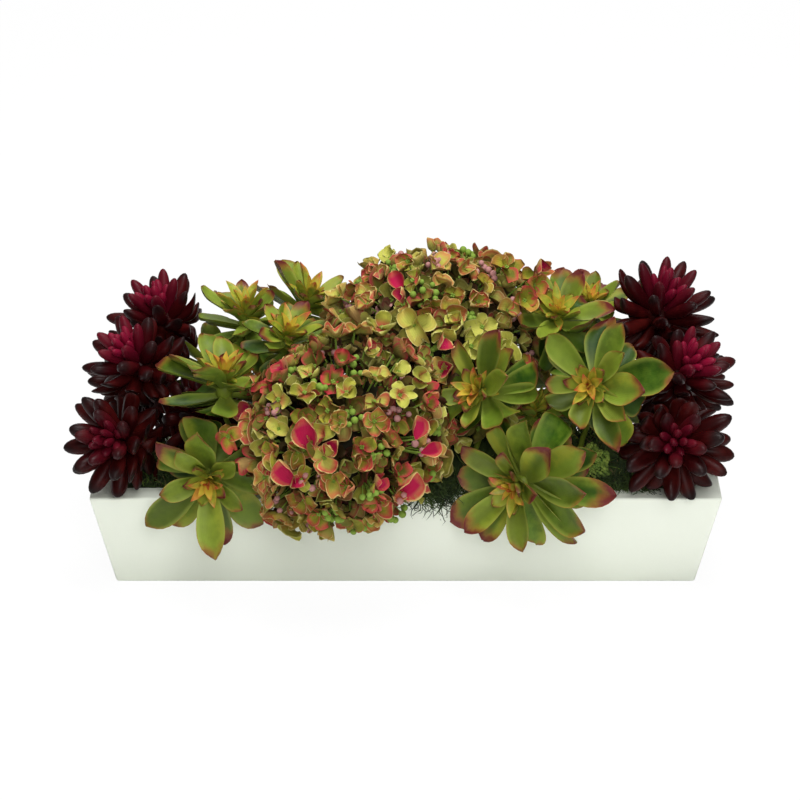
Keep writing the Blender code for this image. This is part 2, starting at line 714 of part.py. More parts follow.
def fused(name, pieces, origin):
    """Joins closed meshes that run into each other into one solid, by one Boolean union."""
    base = new_object(name, pieces[0], model, origin)
    repeats = bpy.data.collections.new(name + "_repeats")
    bpy.context.scene.collection.children.link(repeats)
    for number, piece in enumerate(pieces[1:]):
        new_object(f"{name}_repeat_{number}", piece, repeats)
    union = base.modifiers.new("join", "BOOLEAN")
    union.operation = "UNION"
    union.operand_type = "COLLECTION"
    union.collection = repeats
    union.solver = "MANIFOLD"
    graph = bpy.context.evaluated_depsgraph_get()
    joined = bpy.data.meshes.new_from_object(base.evaluated_get(graph))
    base.modifiers.clear()
    base.data = joined
    for repeat in list(repeats.objects):
        bpy.data.objects.remove(repeat)
    bpy.data.collections.remove(repeats)
    keep_largest_shell(joined)
    return base


def tapered_box(name, collection, length, depth, low, high, lean):
    """A box from height low to high, whose four sides lean outwards by lean from its foot to its top."""
    bpy.ops.mesh.primitive_cube_add(size=1)
    made = bpy.context.active_object
    made.name = name
    for other in list(made.users_collection):
        other.objects.unlink(made)
    collection.objects.link(made)
    for vert in made.data.vertices:
        top = vert.co.z > 0
        half_length = length / 2 - (0 if top else lean)
        half_depth = depth / 2 - (0 if top else lean)
        vert.co = Vector((
            math.copysign(half_length, vert.co.x),
            math.copysign(half_depth, vert.co.y),
            high if top else low))
    return made


def cut(target, cutter):
    difference = target.modifiers.new("cut " + cutter.name, "BOOLEAN")
    difference.operation = "DIFFERENCE"
    difference.object = cutter
    difference.solver = "EXACT"
    cutter.hide_render = True
    cutter.display_type = "WIRE"


def merge_flats(made):
    """Joins the flat faces that cutting split."""
    flats = made.modifiers.new("flats", "DECIMATE")
    flats.decimate_type = "DISSOLVE"
    flats.angle_limit = math.radians(0.5)


def trough():
    """The moulded trough: thin flared walls, a floor, and a lip folded in all round its rim."""
    made = tapered_box("trough", model, TROUGH_LENGTH, TROUGH_DEPTH, 0, TROUGH_HEIGHT, WALL_LEAN)
    under_lip = TROUGH_HEIGHT - LIP_THICKNESS
    lean_per_metre = WALL_LEAN / TROUGH_HEIGHT
    narrower = 2 * (LIP_THICKNESS * lean_per_metre + WALL)
    hollow = tapered_box(
        "trough_hollow", cutters, TROUGH_LENGTH - narrower, TROUGH_DEPTH - narrower,
        WALL, under_lip, lean_per_metre * (under_lip - WALL))
    mouth = tapered_box(
        "trough_mouth", cutters, TROUGH_LENGTH - 2 * LIP_WIDTH, TROUGH_DEPTH - 2 * LIP_WIDTH,
        under_lip - 0.005, TROUGH_HEIGHT + 0.005, 0)
    cut(made, hollow)
    cut(made, mouth)
    rounding = made.modifiers.new("edges", "BEVEL")
    rounding.width = EDGE_ROUND
    rounding.segments = 1
    rounding.limit_method = "ANGLE"
    rounding.angle_limit = math.radians(40)
    painted(made, WHITE, 0.4)


def stem_holes(name, low, high):
    """One cutter with a plain straight hole for every stem."""
    bm = bmesh.new()
    for plant in PLANTS.values():
        middle = Vector((plant["foot"].x, plant["foot"].y, (low + high) / 2))
        bmesh.ops.create_cone(
            bm, cap_ends=True, segments=HOLE_SIDES, radius1=HOLE_RADIUS, radius2=HOLE_RADIUS,
            depth=high - low, matrix=Matrix.Translation(middle))
    mesh = bpy.data.meshes.new(name)
    bm.to_mesh(mesh)
    bm.free()
    holes = bpy.data.objects.new(name, mesh)
    cutters.objects.link(holes)
    return holes


def foam():
    """The dry foam block on the trough's floor, which grips every stem."""
    length = TROUGH_LENGTH - 2 * LIP_WIDTH - 0.004
    depth = TROUGH_DEPTH - 2 * LIP_WIDTH - 0.004
    made = tapered_box("foam_block", model, length, depth, WALL + CLEARANCE, FOAM_TOP, FOAM_TAPER)
    cut(made, stem_holes("foam_holes", STEM_DEPTH - CLEARANCE, FOAM_TOP + 0.005))
    merge_flats(made)
    painted(made, FOAM_GREEN, 0.9)


def moss():
    """The moss mat that fills the trough's mouth, chamfered all round and pierced for the stems."""
    length = TROUGH_LENGTH - 2 * (LIP_WIDTH + MOSS_GAP)
    depth = TROUGH_DEPTH - 2 * (LIP_WIDTH + MOSS_GAP)
    made = tapered_box("moss_mat", model, length, depth, FOAM_TOP + CLEARANCE, MOSS_TOP, 0)
    chamfer = made.modifiers.new("chamfer", "BEVEL")
    chamfer.width = MOSS_CHAMFER
    chamfer.segments = 1
    cut(made, stem_holes("moss_holes", FOAM_TOP - 0.005, MOSS_TOP + 0.02))
    merge_flats(made)
    painted(made, MOSS_GREEN, 0.95)


def lichen_clump():
    """The pale knobbly clump, flat where it sits on the moss."""
    bm = bmesh.new()
    bmesh.ops.create_icosphere(bm, subdivisions=2, radius=0.5)
    for vert in bm.verts:
        lump = 1 + 0.10 * math.sin(vert.co.x * 23) * math.cos(vert.co.z * 19 + vert.co.y * 17)
        vert.co = CLUMP_CENTRE + vert.co * CLUMP_SIZE * lump
        vert.co.z = max(vert.co.z, MOSS_TOP + CLEARANCE)
    mesh = bpy.data.meshes.new("lichen_clump")
    bm.to_mesh(mesh)
    bm.free()
    made = bpy.data.objects.new("lichen_clump", mesh)
    model.objects.link(made)
    painted(made, CLUMP_GREEN, 0.95)


def planting():
    """Every plant, in its own node or nodes, with its own seeded draws."""
    for number, (name, plant) in enumerate(PLANTS.items()):
        draw = random.Random(100 + number)
        centre = plant["centre"]
        if plant["kind"] == "hydrangea":
            head = fused(name + "_head", hydrangea(name, plant, draw), centre)
            painted(head, OLIVE_PINK, 0.6)
            painted(hydrangea_stem(name, plant), STEM_GREEN, 0.6)
        elif plant["kind"] == "slim":
            head = new_object(name + "_succulent", rosette(name, plant, draw), model, centre)
            heart = new_object(name + "_heart", rosette_heart(name, plant, draw), model, centre)
            painted(head, BURGUNDY, 0.3)
            painted(heart, MAGENTA, 0.3)
        elif plant["kind"] == "rosette":
            head = new_object(name + "_rosette", rosette(name, plant, draw), model, centre)
            heart = new_object(name + "_heart", rosette_heart(name, plant, draw), model, centre)
            painted(head, GREEN, 0.5)
            painted(heart, ORANGE, 0.5)
        else:
            head = new_object(name + "_succulent", finger_head(name, plant, draw), model, centre)
            heart = new_object(name + "_heart", finger_heart(name, plant, draw), model, centre)
            painted(head, BURGUNDY, 0.3)
            painted(heart, MAGENTA, 0.3)


for leftover in list(bpy.data.objects):
    bpy.data.objects.remove(leftover)
model = bpy.data.collections.new("hydrangea_and_succulent_planter")
cutters = bpy.data.collections.new("cutters")
for collection in (model, cutters):
    bpy.context.scene.collection.children.link(collection)

trough()
foam()
moss()
lichen_clump()
planting()
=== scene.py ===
import math
import random

import bpy
import bmesh
import numpy as np
from mathutils import Matrix, Vector


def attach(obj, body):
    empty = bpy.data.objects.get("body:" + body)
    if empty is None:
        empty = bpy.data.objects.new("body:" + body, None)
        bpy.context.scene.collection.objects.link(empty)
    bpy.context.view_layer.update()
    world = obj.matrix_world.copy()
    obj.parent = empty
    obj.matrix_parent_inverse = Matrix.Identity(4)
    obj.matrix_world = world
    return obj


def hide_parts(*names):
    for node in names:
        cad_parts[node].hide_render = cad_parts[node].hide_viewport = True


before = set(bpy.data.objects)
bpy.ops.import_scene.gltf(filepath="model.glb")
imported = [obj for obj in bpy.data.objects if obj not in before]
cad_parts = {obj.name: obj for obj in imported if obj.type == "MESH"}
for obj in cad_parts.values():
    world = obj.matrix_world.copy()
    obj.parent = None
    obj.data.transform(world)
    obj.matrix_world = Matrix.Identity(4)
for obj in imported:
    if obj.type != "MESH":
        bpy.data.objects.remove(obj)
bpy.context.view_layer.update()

# Studio: a pale floor under a white sky, with broad soft lights overhead, behind and in front,
# seen with a long lens from the front and 25 degrees above.
bpy.context.scene.view_settings.view_transform = "Standard"
sky = bpy.data.worlds.new("studio_sky")
sky.use_nodes = True
bpy.context.scene.world = sky
sky_nodes = sky.node_tree.nodes
sky_seen = sky_nodes.new("ShaderNodeBackground")
sky_seen.inputs["Color"].default_value = (1, 1, 1, 1)
sky_seen.inputs["Strength"].default_value = 1.0
sky_nodes["Background"].inputs["Color"].default_value = (1.0, 1.0, 0.98, 1)
sky_nodes["Background"].inputs["Strength"].default_value = 0.20


def seen_apart(tree, lit, seen, output, share=1.0):
    """Shows the camera a share of one shader, and everything else another, at the output."""
    part = tree.nodes.new("ShaderNodeMath")
    part.operation = "MULTIPLY"
    part.inputs[1].default_value = share
    mix = tree.nodes.new("ShaderNodeMixShader")
    tree.links.new(tree.nodes.new("ShaderNodeLightPath").outputs["Is Camera Ray"], part.inputs[0])
    tree.links.new(part.outputs[0], mix.inputs[0])
    tree.links.new(lit.outputs[0], mix.inputs[1])
    tree.links.new(seen.outputs[0], mix.inputs[2])
    tree.links.new(mix.outputs[0], tree.nodes[output].inputs["Surface"])


seen_apart(sky.node_tree, sky_nodes["Background"], sky_seen, "World Output")

bpy.ops.mesh.primitive_plane_add(size=12)
floor = bpy.context.active_object
floor.name = "studio_floor"
floor_paint = bpy.data.materials.new("studio_floor_paint")
floor_paint.use_nodes = True
floor_nodes = floor_paint.node_tree.nodes
floor_shader = floor_nodes["Principled BSDF"]
floor_shader.inputs["Base Color"].default_value = (0.9, 0.9, 0.9, 1)
floor_shader.inputs["Roughness"].default_value = 0.9
floor_glow = floor_nodes.new("ShaderNodeEmission")
floor_glow.inputs["Strength"].default_value = 1.02
seen_apart(floor_paint.node_tree, floor_shader, floor_glow, "Material Output", 0.93)
floor.data.materials.append(floor_paint)

for lamp_name, place, aim, size, watts in (
        ("overhead_softbox", (0.10, -0.40, 2.1), (0, 0, 0.15), 1.0, 36),
        ("back_softbox", (0.0, 1.9, 1.9), (0, 0, 0.15), 1.2, 16),
        ("front_softbox", (0.25, -2.4, 1.7), (0, 0, 0.12), 1.2, 34)):
    lamp = bpy.data.lights.new(lamp_name, "AREA")
    lamp.shape = "SQUARE"
    lamp.size = size
    lamp.energy = watts
    lamp_object = bpy.data.objects.new(lamp_name, lamp)
    lamp_object.location = place
    lamp_object.rotation_euler = (Vector(aim) - Vector(place)).to_track_quat("-Z", "Y").to_euler()
    bpy.context.scene.collection.objects.link(lamp_object)

lens = bpy.data.cameras.new("front_camera")
lens.sensor_width = 36
lens.lens = 163.7
camera = bpy.data.objects.new("front_camera", lens)
camera_rise = math.radians(25)
camera.location = (-0.0055, -3.2081, 1.6671)
camera.rotation_euler = (math.radians(90) - camera_rise, 0, 0)
bpy.context.scene.collection.objects.link(camera)
bpy.context.scene.camera = camera


# Trough: one long box with flared walls and a lip folded in all round, moulded in off-white plastic
# with a faint green tint. Its edges are softly rounded and its faces have a fine satin skin.
def plain_material(name, roughness, colour):
    """A new material, its node tree and its Principled shader."""
    material = bpy.data.materials.new(name)
    material.use_nodes = True
    shader = material.node_tree.nodes["Principled BSDF"]
    shader.inputs["Base Color"].default_value = (*colour, 1)
    shader.inputs["Roughness"].default_value = roughness
    material.diffuse_color = (*colour, 1)
    return material, material.node_tree, shader


def new_node(tree, kind, settings=None, **wires):
    """Adds a node; wires are values or output sockets for its inputs, named with _ for spaces."""
    node = tree.nodes.new(kind)
    for key, value in (settings or {}).items():
        setattr(node, key, value)
    for key, value in wires.items():
        socket = node.inputs[int(key[1:])] if key[1:].isdigit() else node.inputs[key.replace("_", " ")]
        if isinstance(value, bpy.types.NodeSocket):
            tree.links.new(value, socket)
        elif isinstance(value, tuple) and len(value) == 3 and socket.type == "RGBA":
            socket.default_value = (*value, 1)
        else:
            socket.default_value = value
    return node


def mixed(tree, factor, first, second):
    """The output of a colour mix."""
    node = new_node(tree, "ShaderNodeMix", {"data_type": "RGBA", "clamp_factor": True})
    for index, value in ((0, factor), (6, first), (7, second)):
        socket = node.inputs[index]
        if isinstance(value, bpy.types.NodeSocket):
            tree.links.new(value, socket)
        elif isinstance(value, tuple):
            socket.default_value = (*value[:3], 1)
        else:
            socket.default_value = value
    return node.outputs[2]


def ramped(tree, value, low, high, out_low=0.0, out_high=1.0):
    """A value mapped smoothly from low..high to out_low..out_high."""
    node = new_node(
        tree, "ShaderNodeMapRange", {"interpolation_type": "SMOOTHSTEP"},
        Value=value, From_Min=low, From_Max=high, To_Min=out_low, To_Max=out_high)
    return node.outputs["Result"]


def reckoned(tree, operation, first, second=0.0):
    """The output of a Math node."""
    return new_node(tree, "ShaderNodeMath", {"operation": operation}, _0=first, _1=second).outputs[0]


def times(tree, first, second):
    """The product of two values."""
    return reckoned(tree, "MULTIPLY", first, second)


def plus(tree, first, second):
    """The sum of two values."""
    return reckoned(tree, "ADD", first, second)


def bumped(tree, shader, strength, distance, height):
    """Gives the shader a surface that rises and falls with a height."""
    bump = new_node(tree, "ShaderNodeBump", Strength=strength, Distance=distance, Height=height)
    tree.links.new(bump.outputs["Normal"], shader.inputs["Normal"])


def mottled(tree, colour, other, scale, amount=1.0):
    """The outputs of the shared mottle group, from one colour to another."""
    return new_node(
        tree, "ShaderNodeGroup", {"node_tree": mottle}, Color=colour, Other=other, Scale=scale,
        Amount=amount).outputs


def group_of(name, inputs, outputs):
    """A new shader node group with named sockets, its tree, and its input and output nodes."""
    tree = bpy.data.node_groups.new(name, "ShaderNodeTree")
    for socket, kind in inputs:
        tree.interface.new_socket(socket, in_out="INPUT", socket_type=kind)
    for socket, kind in outputs:
        tree.interface.new_socket(socket, in_out="OUTPUT", socket_type=kind)
    return tree, tree.nodes.new("NodeGroupInput"), tree.nodes.new("NodeGroupOutput")


mottle, mottle_in, mottle_out = group_of(
    "mottle",
    [("Color", "NodeSocketColor"), ("Other", "NodeSocketColor"), ("Scale", "NodeSocketFloat"),
     ("Amount", "NodeSocketFloat")],
    [("Color", "NodeSocketColor"), ("Mask", "NodeSocketFloat")])
mottle_place = new_node(mottle, "ShaderNodeTexCoord")
mottle_noise = new_node(
    mottle, "ShaderNodeTexNoise", Vector=mottle_place.outputs["Object"],
    Scale=mottle_in.outputs["Scale"], Detail=4.0, Roughness=0.6)
mottle_mask = ramped(mottle, mottle_noise.outputs["Fac"], 0.35, 0.68)
mottle_share = times(mottle, mottle_mask, mottle_in.outputs["Amount"])
mottle.links.new(
    mixed(mottle, mottle_share, mottle_in.outputs["Color"], mottle_in.outputs["Other"]),
    mottle_out.inputs["Color"])
mottle.links.new(mottle_mask, mottle_out.inputs["Mask"])

trough_length, trough_depth, trough_height = 0.610, 0.152, 0.102
trough_lean, trough_wall, lip_width, lip_thickness, trough_round = 0.022, 0.008, 0.025, 0.010, 0.0025
cut_through = 0.005


def flared_box(name, length, depth, low, high, lean):
    """A box whose four sides lean outwards by lean from foot to top."""
    bpy.ops.mesh.primitive_cube_add(size=1)
    box = bpy.context.active_object
    box.name = name
    for corner in box.data.vertices:
        top = corner.co.z > 0
        corner.co = Vector((
            math.copysign(length / 2 - (0 if top else lean), corner.co.x),
            math.copysign(depth / 2 - (0 if top else lean), corner.co.y),
            high if top else low))
    return box


def settled(name, shape, cutters=()):
    """The shape with its modifiers applied, as a new object; the shape and its cutters are removed."""
    graph = bpy.context.evaluated_depsgraph_get()
    mesh = bpy.data.meshes.new_from_object(shape.evaluated_get(graph))
    for spent in (shape, *cutters):
        bpy.data.objects.remove(spent)
    mesh.name = name
    done = bpy.data.objects.new(name, mesh)
    bpy.context.scene.collection.objects.link(done)
    return done


lean_each = trough_lean / trough_height
under_lip = trough_height - lip_thickness
shell = flared_box("shell", trough_length, trough_depth, 0, trough_height, trough_lean)
inset = 2 * (lip_thickness * lean_each + trough_wall)
hollow = flared_box(
    "hollow", trough_length - inset, trough_depth - inset, trough_wall, under_lip,
    lean_each * (under_lip - trough_wall))
mouth = flared_box(
    "mouth", trough_length - 2 * lip_width, trough_depth - 2 * lip_width, under_lip - cut_through,
    trough_height + cut_through, 0)
for cutter in (hollow, mouth):
    cut = shell.modifiers.new("cut", "BOOLEAN")
    cut.operation = "DIFFERENCE"
    cut.object = cutter
    cut.solver = "EXACT"
rounding = shell.modifiers.new("rounding", "BEVEL")
rounding.width = trough_round
rounding.segments = 4
rounding.limit_method = "ANGLE"
rounding.angle_limit = math.radians(40)
trough = settled("trough_shell", shell, (hollow, mouth))
trough.data.shade_smooth()
trough.data.set_sharp_from_angle(angle=math.radians(35))

trough_plastic, tree, shader = plain_material("satin_offwhite_plastic", 0.34, (0.80, 0.86, 0.76))
clouded = mottled(tree, (0.860, 0.905, 0.785), (0.885, 0.925, 0.815), 5.0, 0.8)
place = new_node(tree, "ShaderNodeTexCoord")
speckle = new_node(tree, "ShaderNodeTexVoronoi", Vector=place.outputs["Object"], Scale=170.0)
speck = ramped(tree, speckle.outputs["Distance"], 0.0, 0.10, 0.22, 0.0)
rare = new_node(tree, "ShaderNodeTexWhiteNoise", Vector=speckle.outputs["Position"])
speck = times(tree, speck, ramped(tree, rare.outputs["Value"], 0.90, 0.94))
tree.links.new(
    mixed(tree, speck, clouded["Color"], (0.50, 0.52, 0.44)), shader.inputs["Base Color"])
skin = new_node(tree, "ShaderNodeTexNoise", Vector=place.outputs["Object"], Scale=420.0, Detail=3.0)
slow = new_node(tree, "ShaderNodeTexNoise", Vector=place.outputs["Object"], Scale=14.0, Detail=2.0)
bumped(tree, shader, 0.10, 0.0008, plus(tree, skin.outputs["Fac"], times(tree, slow.outputs["Fac"], 2.5)))
tree.links.new(ramped(tree, slow.outputs["Fac"], 0.3, 0.7, 0.30, 0.40), shader.inputs["Roughness"])
trough.data.materials.clear()
trough.data.materials.append(trough_plastic)
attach(trough, "root")
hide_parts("trough")

# Foam: a dry green block pressed into the trough, which grips every stem. Only a corner of it could
# ever show, so the block keeps its plain solid and gets a crumbly skin.
foam_skin, tree, shader = plain_material("crumbly_foam", 0.95, (0.13, 0.20, 0.10))
crumbs = mottled(tree, (0.10, 0.16, 0.08), (0.18, 0.27, 0.14), 260.0)
tree.links.new(crumbs["Color"], shader.inputs["Base Color"])
bumped(tree, shader, 0.6, 0.001, crumbs["Mask"])
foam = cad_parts["foam_block"]
foam.data.materials.clear()
foam.data.materials.append(foam_skin)


# Planting plan: where each plant's leaves spread from, the way it faces, its reach, the room that it
# holds against a neighbour, its turn in degrees, where its stem enters the moss, and how many degrees
# the plane that keeps it off the rim is tilted. Lengths are in millimetres.
rosettes = {
    "green_front_left": ((-186, -92, 138), (-0.10, -0.99, -0.05), 84, 84, 12, (-180, -36), -64),
    "green_left": ((-173, -60, 208), (0.0, -0.05, 1.0), 86, 70, 58, (-158, -12), 0),
    "green_left_back": ((-156, 38, 233), (0.02, -0.05, 1.0), 74, 66, 64, (-143, 22), 0),
    "green_top_left": ((-102, 74, 233), (0.38, -0.03, 0.92), 70, 66, 62, (-80, 20), 0),
    "green_inner_left": ((-115, -15, 236), (0.13, -0.35, 0.93), 68, 66, 32, (-104, -10), 0),
    "green_front_right": ((114, -92, 130), (-0.62, -0.78, -0.02), 90, 90, 54, (104, -36), -64),
    "green_middle": ((76, -68, 210), (-0.52, -0.72, 0.46), 82, 68, 12, (66, -18), 0),
    "green_right": ((180, -60, 214), (-0.30, -0.85, 0.43), 86, 72, 2, (168, -20), 0),
    "green_inner_right": ((146, 8, 249), (0.0, -0.45, 0.89), 84, 66, 20, (142, 0), 0),
    "green_top_right": ((181, 82, 227), (0.05, -0.24, 0.97), 68, 60, 46, (164, 14), 0),
    "green_back_left": ((-106, 108, 140), (0.15, 0.80, 0.58), 82, 76, 55, (-96, 40), 60),
    "green_back_far_left": ((-188, 88, 152), (-0.05, 0.75, 0.66), 82, 70, 300, (-176, 36), 60),
    "green_back_right": ((178, 114, 136), (-0.10, 0.80, 0.58), 84, 78, 180, (196, 38), 60),
    "green_low_right": ((124, -4, 154), (0.0, -0.50, 0.86), 66, 60, 5, (120, 2), 0),
}
# The arrangement is drawn in a front view from 25 degrees above the level. Here are the places
# where leaf tips show there, in millimetres right of and above the middle of their plant.
tips_seen = {
    "green_front_left": (
        (-71, 22), (-49, 29), (-13, 68), (-10, 38), (-29, 23), (-32, -25), (-63, -52), (-42, -52),
        (6, -81), (12, -70), (20, -39), (50, -52), (30, 3)),
    "green_left": (
        (-79, 28), (-55, 31), (-56, -1), (-20, 65), (-1, 70), (39, 65), (44, 26), (23, -2), (-26, 19),
        (31, 21), (6, -36)),
    "green_left_back": ((-71, 9), (-53, 34), (-31, 34), (-21, 25), (9, 26), (47, 34), (5, -22)),
    "green_top_left": ((-28, 46), (-22, 51), (-7, 46), (0, 33), (18, 7), (51, 31)),
    "green_inner_left": ((-25, 10), (-19, -14), (-22, 26), (24, 0), (14, -24)),
    "green_front_right": (
        (-60, 36), (-64, 3), (-50, -16), (-71, -41), (-55, -49), (-40, -59), (0, -67), (9, -65),
        (48, -60), (55, -48), (84, -16), (55, -12), (55, 29), (21, 31), (-4, 64), (-33, 64), (52, 83)),
    "green_middle": (
        (-26, 51), (12, 60), (27, 41), (22, 15), (67, 23), (63, -3), (-64, -31), (-54, 35), (-43, -3),
        (19, -46)),
    "green_right": (
        (-51, 41), (-47, 52), (26, 31), (72, 13), (44, -6), (28, -33), (18, -67), (-35, -4), (-2, -39),
        (-22, -52)),
    "green_inner_right": (
        (-80, 0), (-64, 12), (-53, -10), (-16, 37), (47, 28), (56, 8), (40, -22), (-18, -27), (-14, -78)),
    "green_top_right": ((-20, 26), (16, 31), (49, 1), (-34, 11), (28, 11), (38, -13), (36, -3)),
    "green_back_right": ((-92, -42), (-66, -4)),
}
view_up = Vector((0, math.sin(camera_rise), math.cos(camera_rise)))
view_front = Vector((0, -math.cos(camera_rise), math.sin(camera_rise)))
succulents = {
    "burgundy_left_front": ((-271, -62, 157), (-0.36, -0.82, 0.44), 64, 64, 0, (-244, -30), 0),
    "burgundy_left_middle": ((-256, -14, 213), (-0.46, -0.30, 0.86), 60, 60, 50, (-224, -6), 0),
    "burgundy_left_top": ((-235, 46, 232), (-0.28, -0.12, 0.96), 60, 58, 110, (-204, 14), 0),
    "burgundy_low_left": ((-194, 0, 158), (-0.10, -0.55, 0.83), 66, 62, 20, (-190, 6), 0),
    "burgundy_left_back": ((-262, 78, 154), (-0.12, 0.75, 0.65), 60, 60, 170, (-240, 36), 0),
    "burgundy_right_front": ((257, -62, 154), (0.03, -0.86, 0.52), 63, 63, 20, (226, -30), 0),
    "burgundy_right_middle": ((264, -14, 203), (0.38, -0.46, 0.81), 61, 60, 75, (228, -4), 0),
    "burgundy_right_top": ((246, 46, 239), (0.24, -0.12, 0.96), 67, 63, 140, (212, 14), 0),
    "burgundy_right_back": ((266, 78, 156), (0.15, 0.75, 0.65), 60, 60, 200, (238, 38), 0),
}
hydrangeas = {
    "hydrangea_front": ((-60, -82, 168), (-0.05, -0.84, 0.54), 99, 112, 20, (-50, -30), -36),
    "hydrangea_top": ((31, 42, 210), (0.05, -0.22, 0.97), 106, 122, 70, (24, 18), 0),
}
plants = {}
first_seed = 100
for name, (centre, faces, reach, room, turn, foot, over) in {**hydrangeas, **rosettes, **succulents}.items():
    plants[name] = dict(
        centre=Vector(centre) * 0.001, faces=Vector(faces).normalized(), reach=reach * 0.001,
        room=room * 0.001, turn=math.radians(turn), foot=Vector((*foot, 0)) * 0.001,
        over=math.radians(over), seed=first_seed + len(plants))
moss_top, over_moss, past_rim = 0.103, 0.002, 0.002
clump_centre, clump_room = Vector((0.178, -0.042, 0.120)), 0.020
soft_depth, half_gap = 0.014, 0.0005


def axes_of(direction):
    """Three unit vectors: two across the direction, and the direction itself."""
    along = Vector(direction).normalized()
    across = Vector((1, 0, 0)) - along * along.x
    if across.length < 0.2:
        across = Vector((0, 1, 0)) - along * along.y
    across.normalize()
    return across, along.cross(across), along


def toward(axes, azimuth, polar):
    """The unit vector at an azimuth about the axes' last one and a polar angle from it."""
    u, v, along = axes
    outward = u * math.cos(azimuth) + v * math.sin(azimuth)
    return outward * math.sin(polar) + along * math.cos(polar)


def walls_round(name, other_heads=True):
    """Planes half way to each neighbour and over the rim, which bound the plant's room."""
    plant = plants[name]
    others = [
        (other["centre"], other["room"]) for key, other in plants.items()
        if key != name and (other_heads or key not in hydrangeas)]
    walls = []
    for centre, room in others + [(clump_centre, clump_room)]:
        away = centre - plant["centre"]
        offset = (away.length_squared + plant["room"] ** 2 - room ** 2) / (2 * away.length)
        if offset < plant["reach"] + soft_depth:
            normal = away.normalized()
            walls.append((plant["centre"] + normal * (offset - half_gap), normal))
    tilt = plant["over"]
    edge = Vector((0, math.copysign(trough_depth / 2 + past_rim, tilt), moss_top + over_moss))
    walls.append((edge, Vector((0, -math.sin(tilt), -math.cos(tilt)))))
    return [(np.array(at), np.array(normal)) for at, normal in walls]


def pressed(points, walls):
    """The points, held back softly from every wall that they come near or pass."""
    for at, normal in walls:
        inside = np.maximum((points - at) @ normal + soft_depth, 0)
        points = points - np.outer(inside - soft_depth * (1 - np.exp(-inside / soft_depth)), normal)
    return points


class Bunch:
    """Grows one mesh out of many small closed shapes, each with marks that its material reads."""

    def __init__(self):
        self.points, self.faces, self.places, self.kinds, self.count = [], [], [], [], 0

    def add(self, points, faces, places, kind):
        """places is a row of three numbers for each point; kind is three numbers for the whole shape."""
        self.points.append(points)
        self.faces += [tuple(corner + self.count for corner in face) for face in faces]
        self.places.append(places)
        self.kinds.append(np.tile(kind, (len(points), 1)))
        self.count += len(points)

    def plain(self, shape, kind=(0, 0, 0)):
        """Adds a shape, given as its points and faces, that has no marks along and across it."""
        points, faces = shape
        self.add(points, faces, np.zeros((len(points), 3)), kind)

    def grown(self, name, material, slot, replaced):
        """The finished piece, riding on the planter."""
        mesh = bpy.data.meshes.new(name)
        mesh.from_pydata(np.concatenate(self.points).tolist(), [], self.faces)
        for mark, rows in (("place", self.places), ("kind", self.kinds)):
            layer = mesh.attributes.new(mark, "FLOAT_VECTOR", "POINT")
            layer.data.foreach_set("vector", np.concatenate(rows).astype(np.float32).ravel())
        mesh.shade_smooth()
        mesh.set_sharp_from_angle(angle=math.radians(70))
        mesh.materials.append(material)
        piece = bpy.data.objects.new(name, mesh)
        bpy.context.scene.collection.objects.link(piece)
        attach(piece, "root")
        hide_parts(*replaced)


def lofted(rings, tip=None):
    """Points and faces through equal rings, capped at the first and closed to a tip or a cap at the last."""
    count, sides = len(rings), len(rings[0])
    points = [point for ring in rings for point in ring]
    faces = [tuple(reversed(range(sides)))]
    for step in range(count - 1):
        low, high = step * sides, (step + 1) * sides
        for i in range(sides):
            j = (i + 1) % sides
            faces.append((low + i, low + j, high + j, high + i))
    last = (count - 1) * sides
    if tip is None:
        faces.append(tuple(range(last, last + sides)))
    else:
        points.append(tip)
        faces += [(last + i, last + (i + 1) % sides, len(points) - 1) for i in range(sides)]
    return np.array([tuple(point) for point in points]), faces


def circle(middle, u, v, radius, sides, turn=0.0):
    """Points round a middle, in the plane of u and v."""
    return [
        middle + (u * math.cos(a) + v * math.sin(a)) * radius
        for a in (turn + 2 * math.pi * k / sides for k in range(sides))]


def tube_rings(places, radii, sides):
    """Rings of a bent tube, each square to the run of its places."""
    rings = []
    for i, (place, radius) in enumerate(zip(places, radii)):
        u, v, _ = axes_of(places[min(i + 1, len(places) - 1)] - places[max(i - 1, 0)])
        rings.append(circle(place, u, v, radius, sides))
    return rings


stem_foot, stem_top, stem_radius, stem_sides = 0.046, 0.019, 0.0027, 8
straight_above_moss = 0.006


def stem_rings(plant, axes, steps=8):
    """Rings of a stem from the foam to under its crown: straight in the moss, then bending to the axis."""
    head = plant["centre"] - axes[2] * stem_top
    foot = Vector((plant["foot"].x, plant["foot"].y, moss_top + straight_above_moss))
    rise = Vector((0, 0, 1)) * (head - foot).length * 0.4
    fall = plant["faces"] * (head - foot).length * 0.3
    places = [Vector((foot.x, foot.y, stem_foot))]
    for i in range(steps + 1):
        t = i / steps
        places.append(
            foot * (1 - t) ** 3 + (foot + rise) * 3 * t * (1 - t) ** 2
            + (head - fall) * 3 * t * t * (1 - t) + head * t ** 3)
    return tube_rings(places, [stem_radius] * len(places), stem_sides)


def marked(tree, mark):
    """The X, Y and Z sockets of a mark that the points of a bunch carry."""
    read = new_node(tree, "ShaderNodeAttribute", {"attribute_name": mark})
    return new_node(tree, "ShaderNodeSeparateXYZ", Vector=read.outputs["Vector"]).outputs


def set_out(name):
    """A plant's axes, middle, reach, turn and walls."""
    plant = plants[name]
    return axes_of(plant["faces"]), plant["centre"], plant["reach"], plant["turn"], walls_round(name)


# Moss: a preserved mat that fills the trough's mouth, dark green with paler and browner tufts. It is
# a lumpy pad with fine curling strands, thicker where it swells over the front lip.
moss_draw = random.Random(11)
moss_inset = 2 * (lip_width + 0.0006)
moss_length, moss_depth, moss_foot = trough_length - moss_inset, trough_depth - moss_inset, 0.0905
heap_height, heap_middle, heap_half_depth, heap_half_length = 0.036, 0.008, 0.042, 0.250
mat_strands, strand_sunk, strand_margin = 3200, 0.005, 0.008


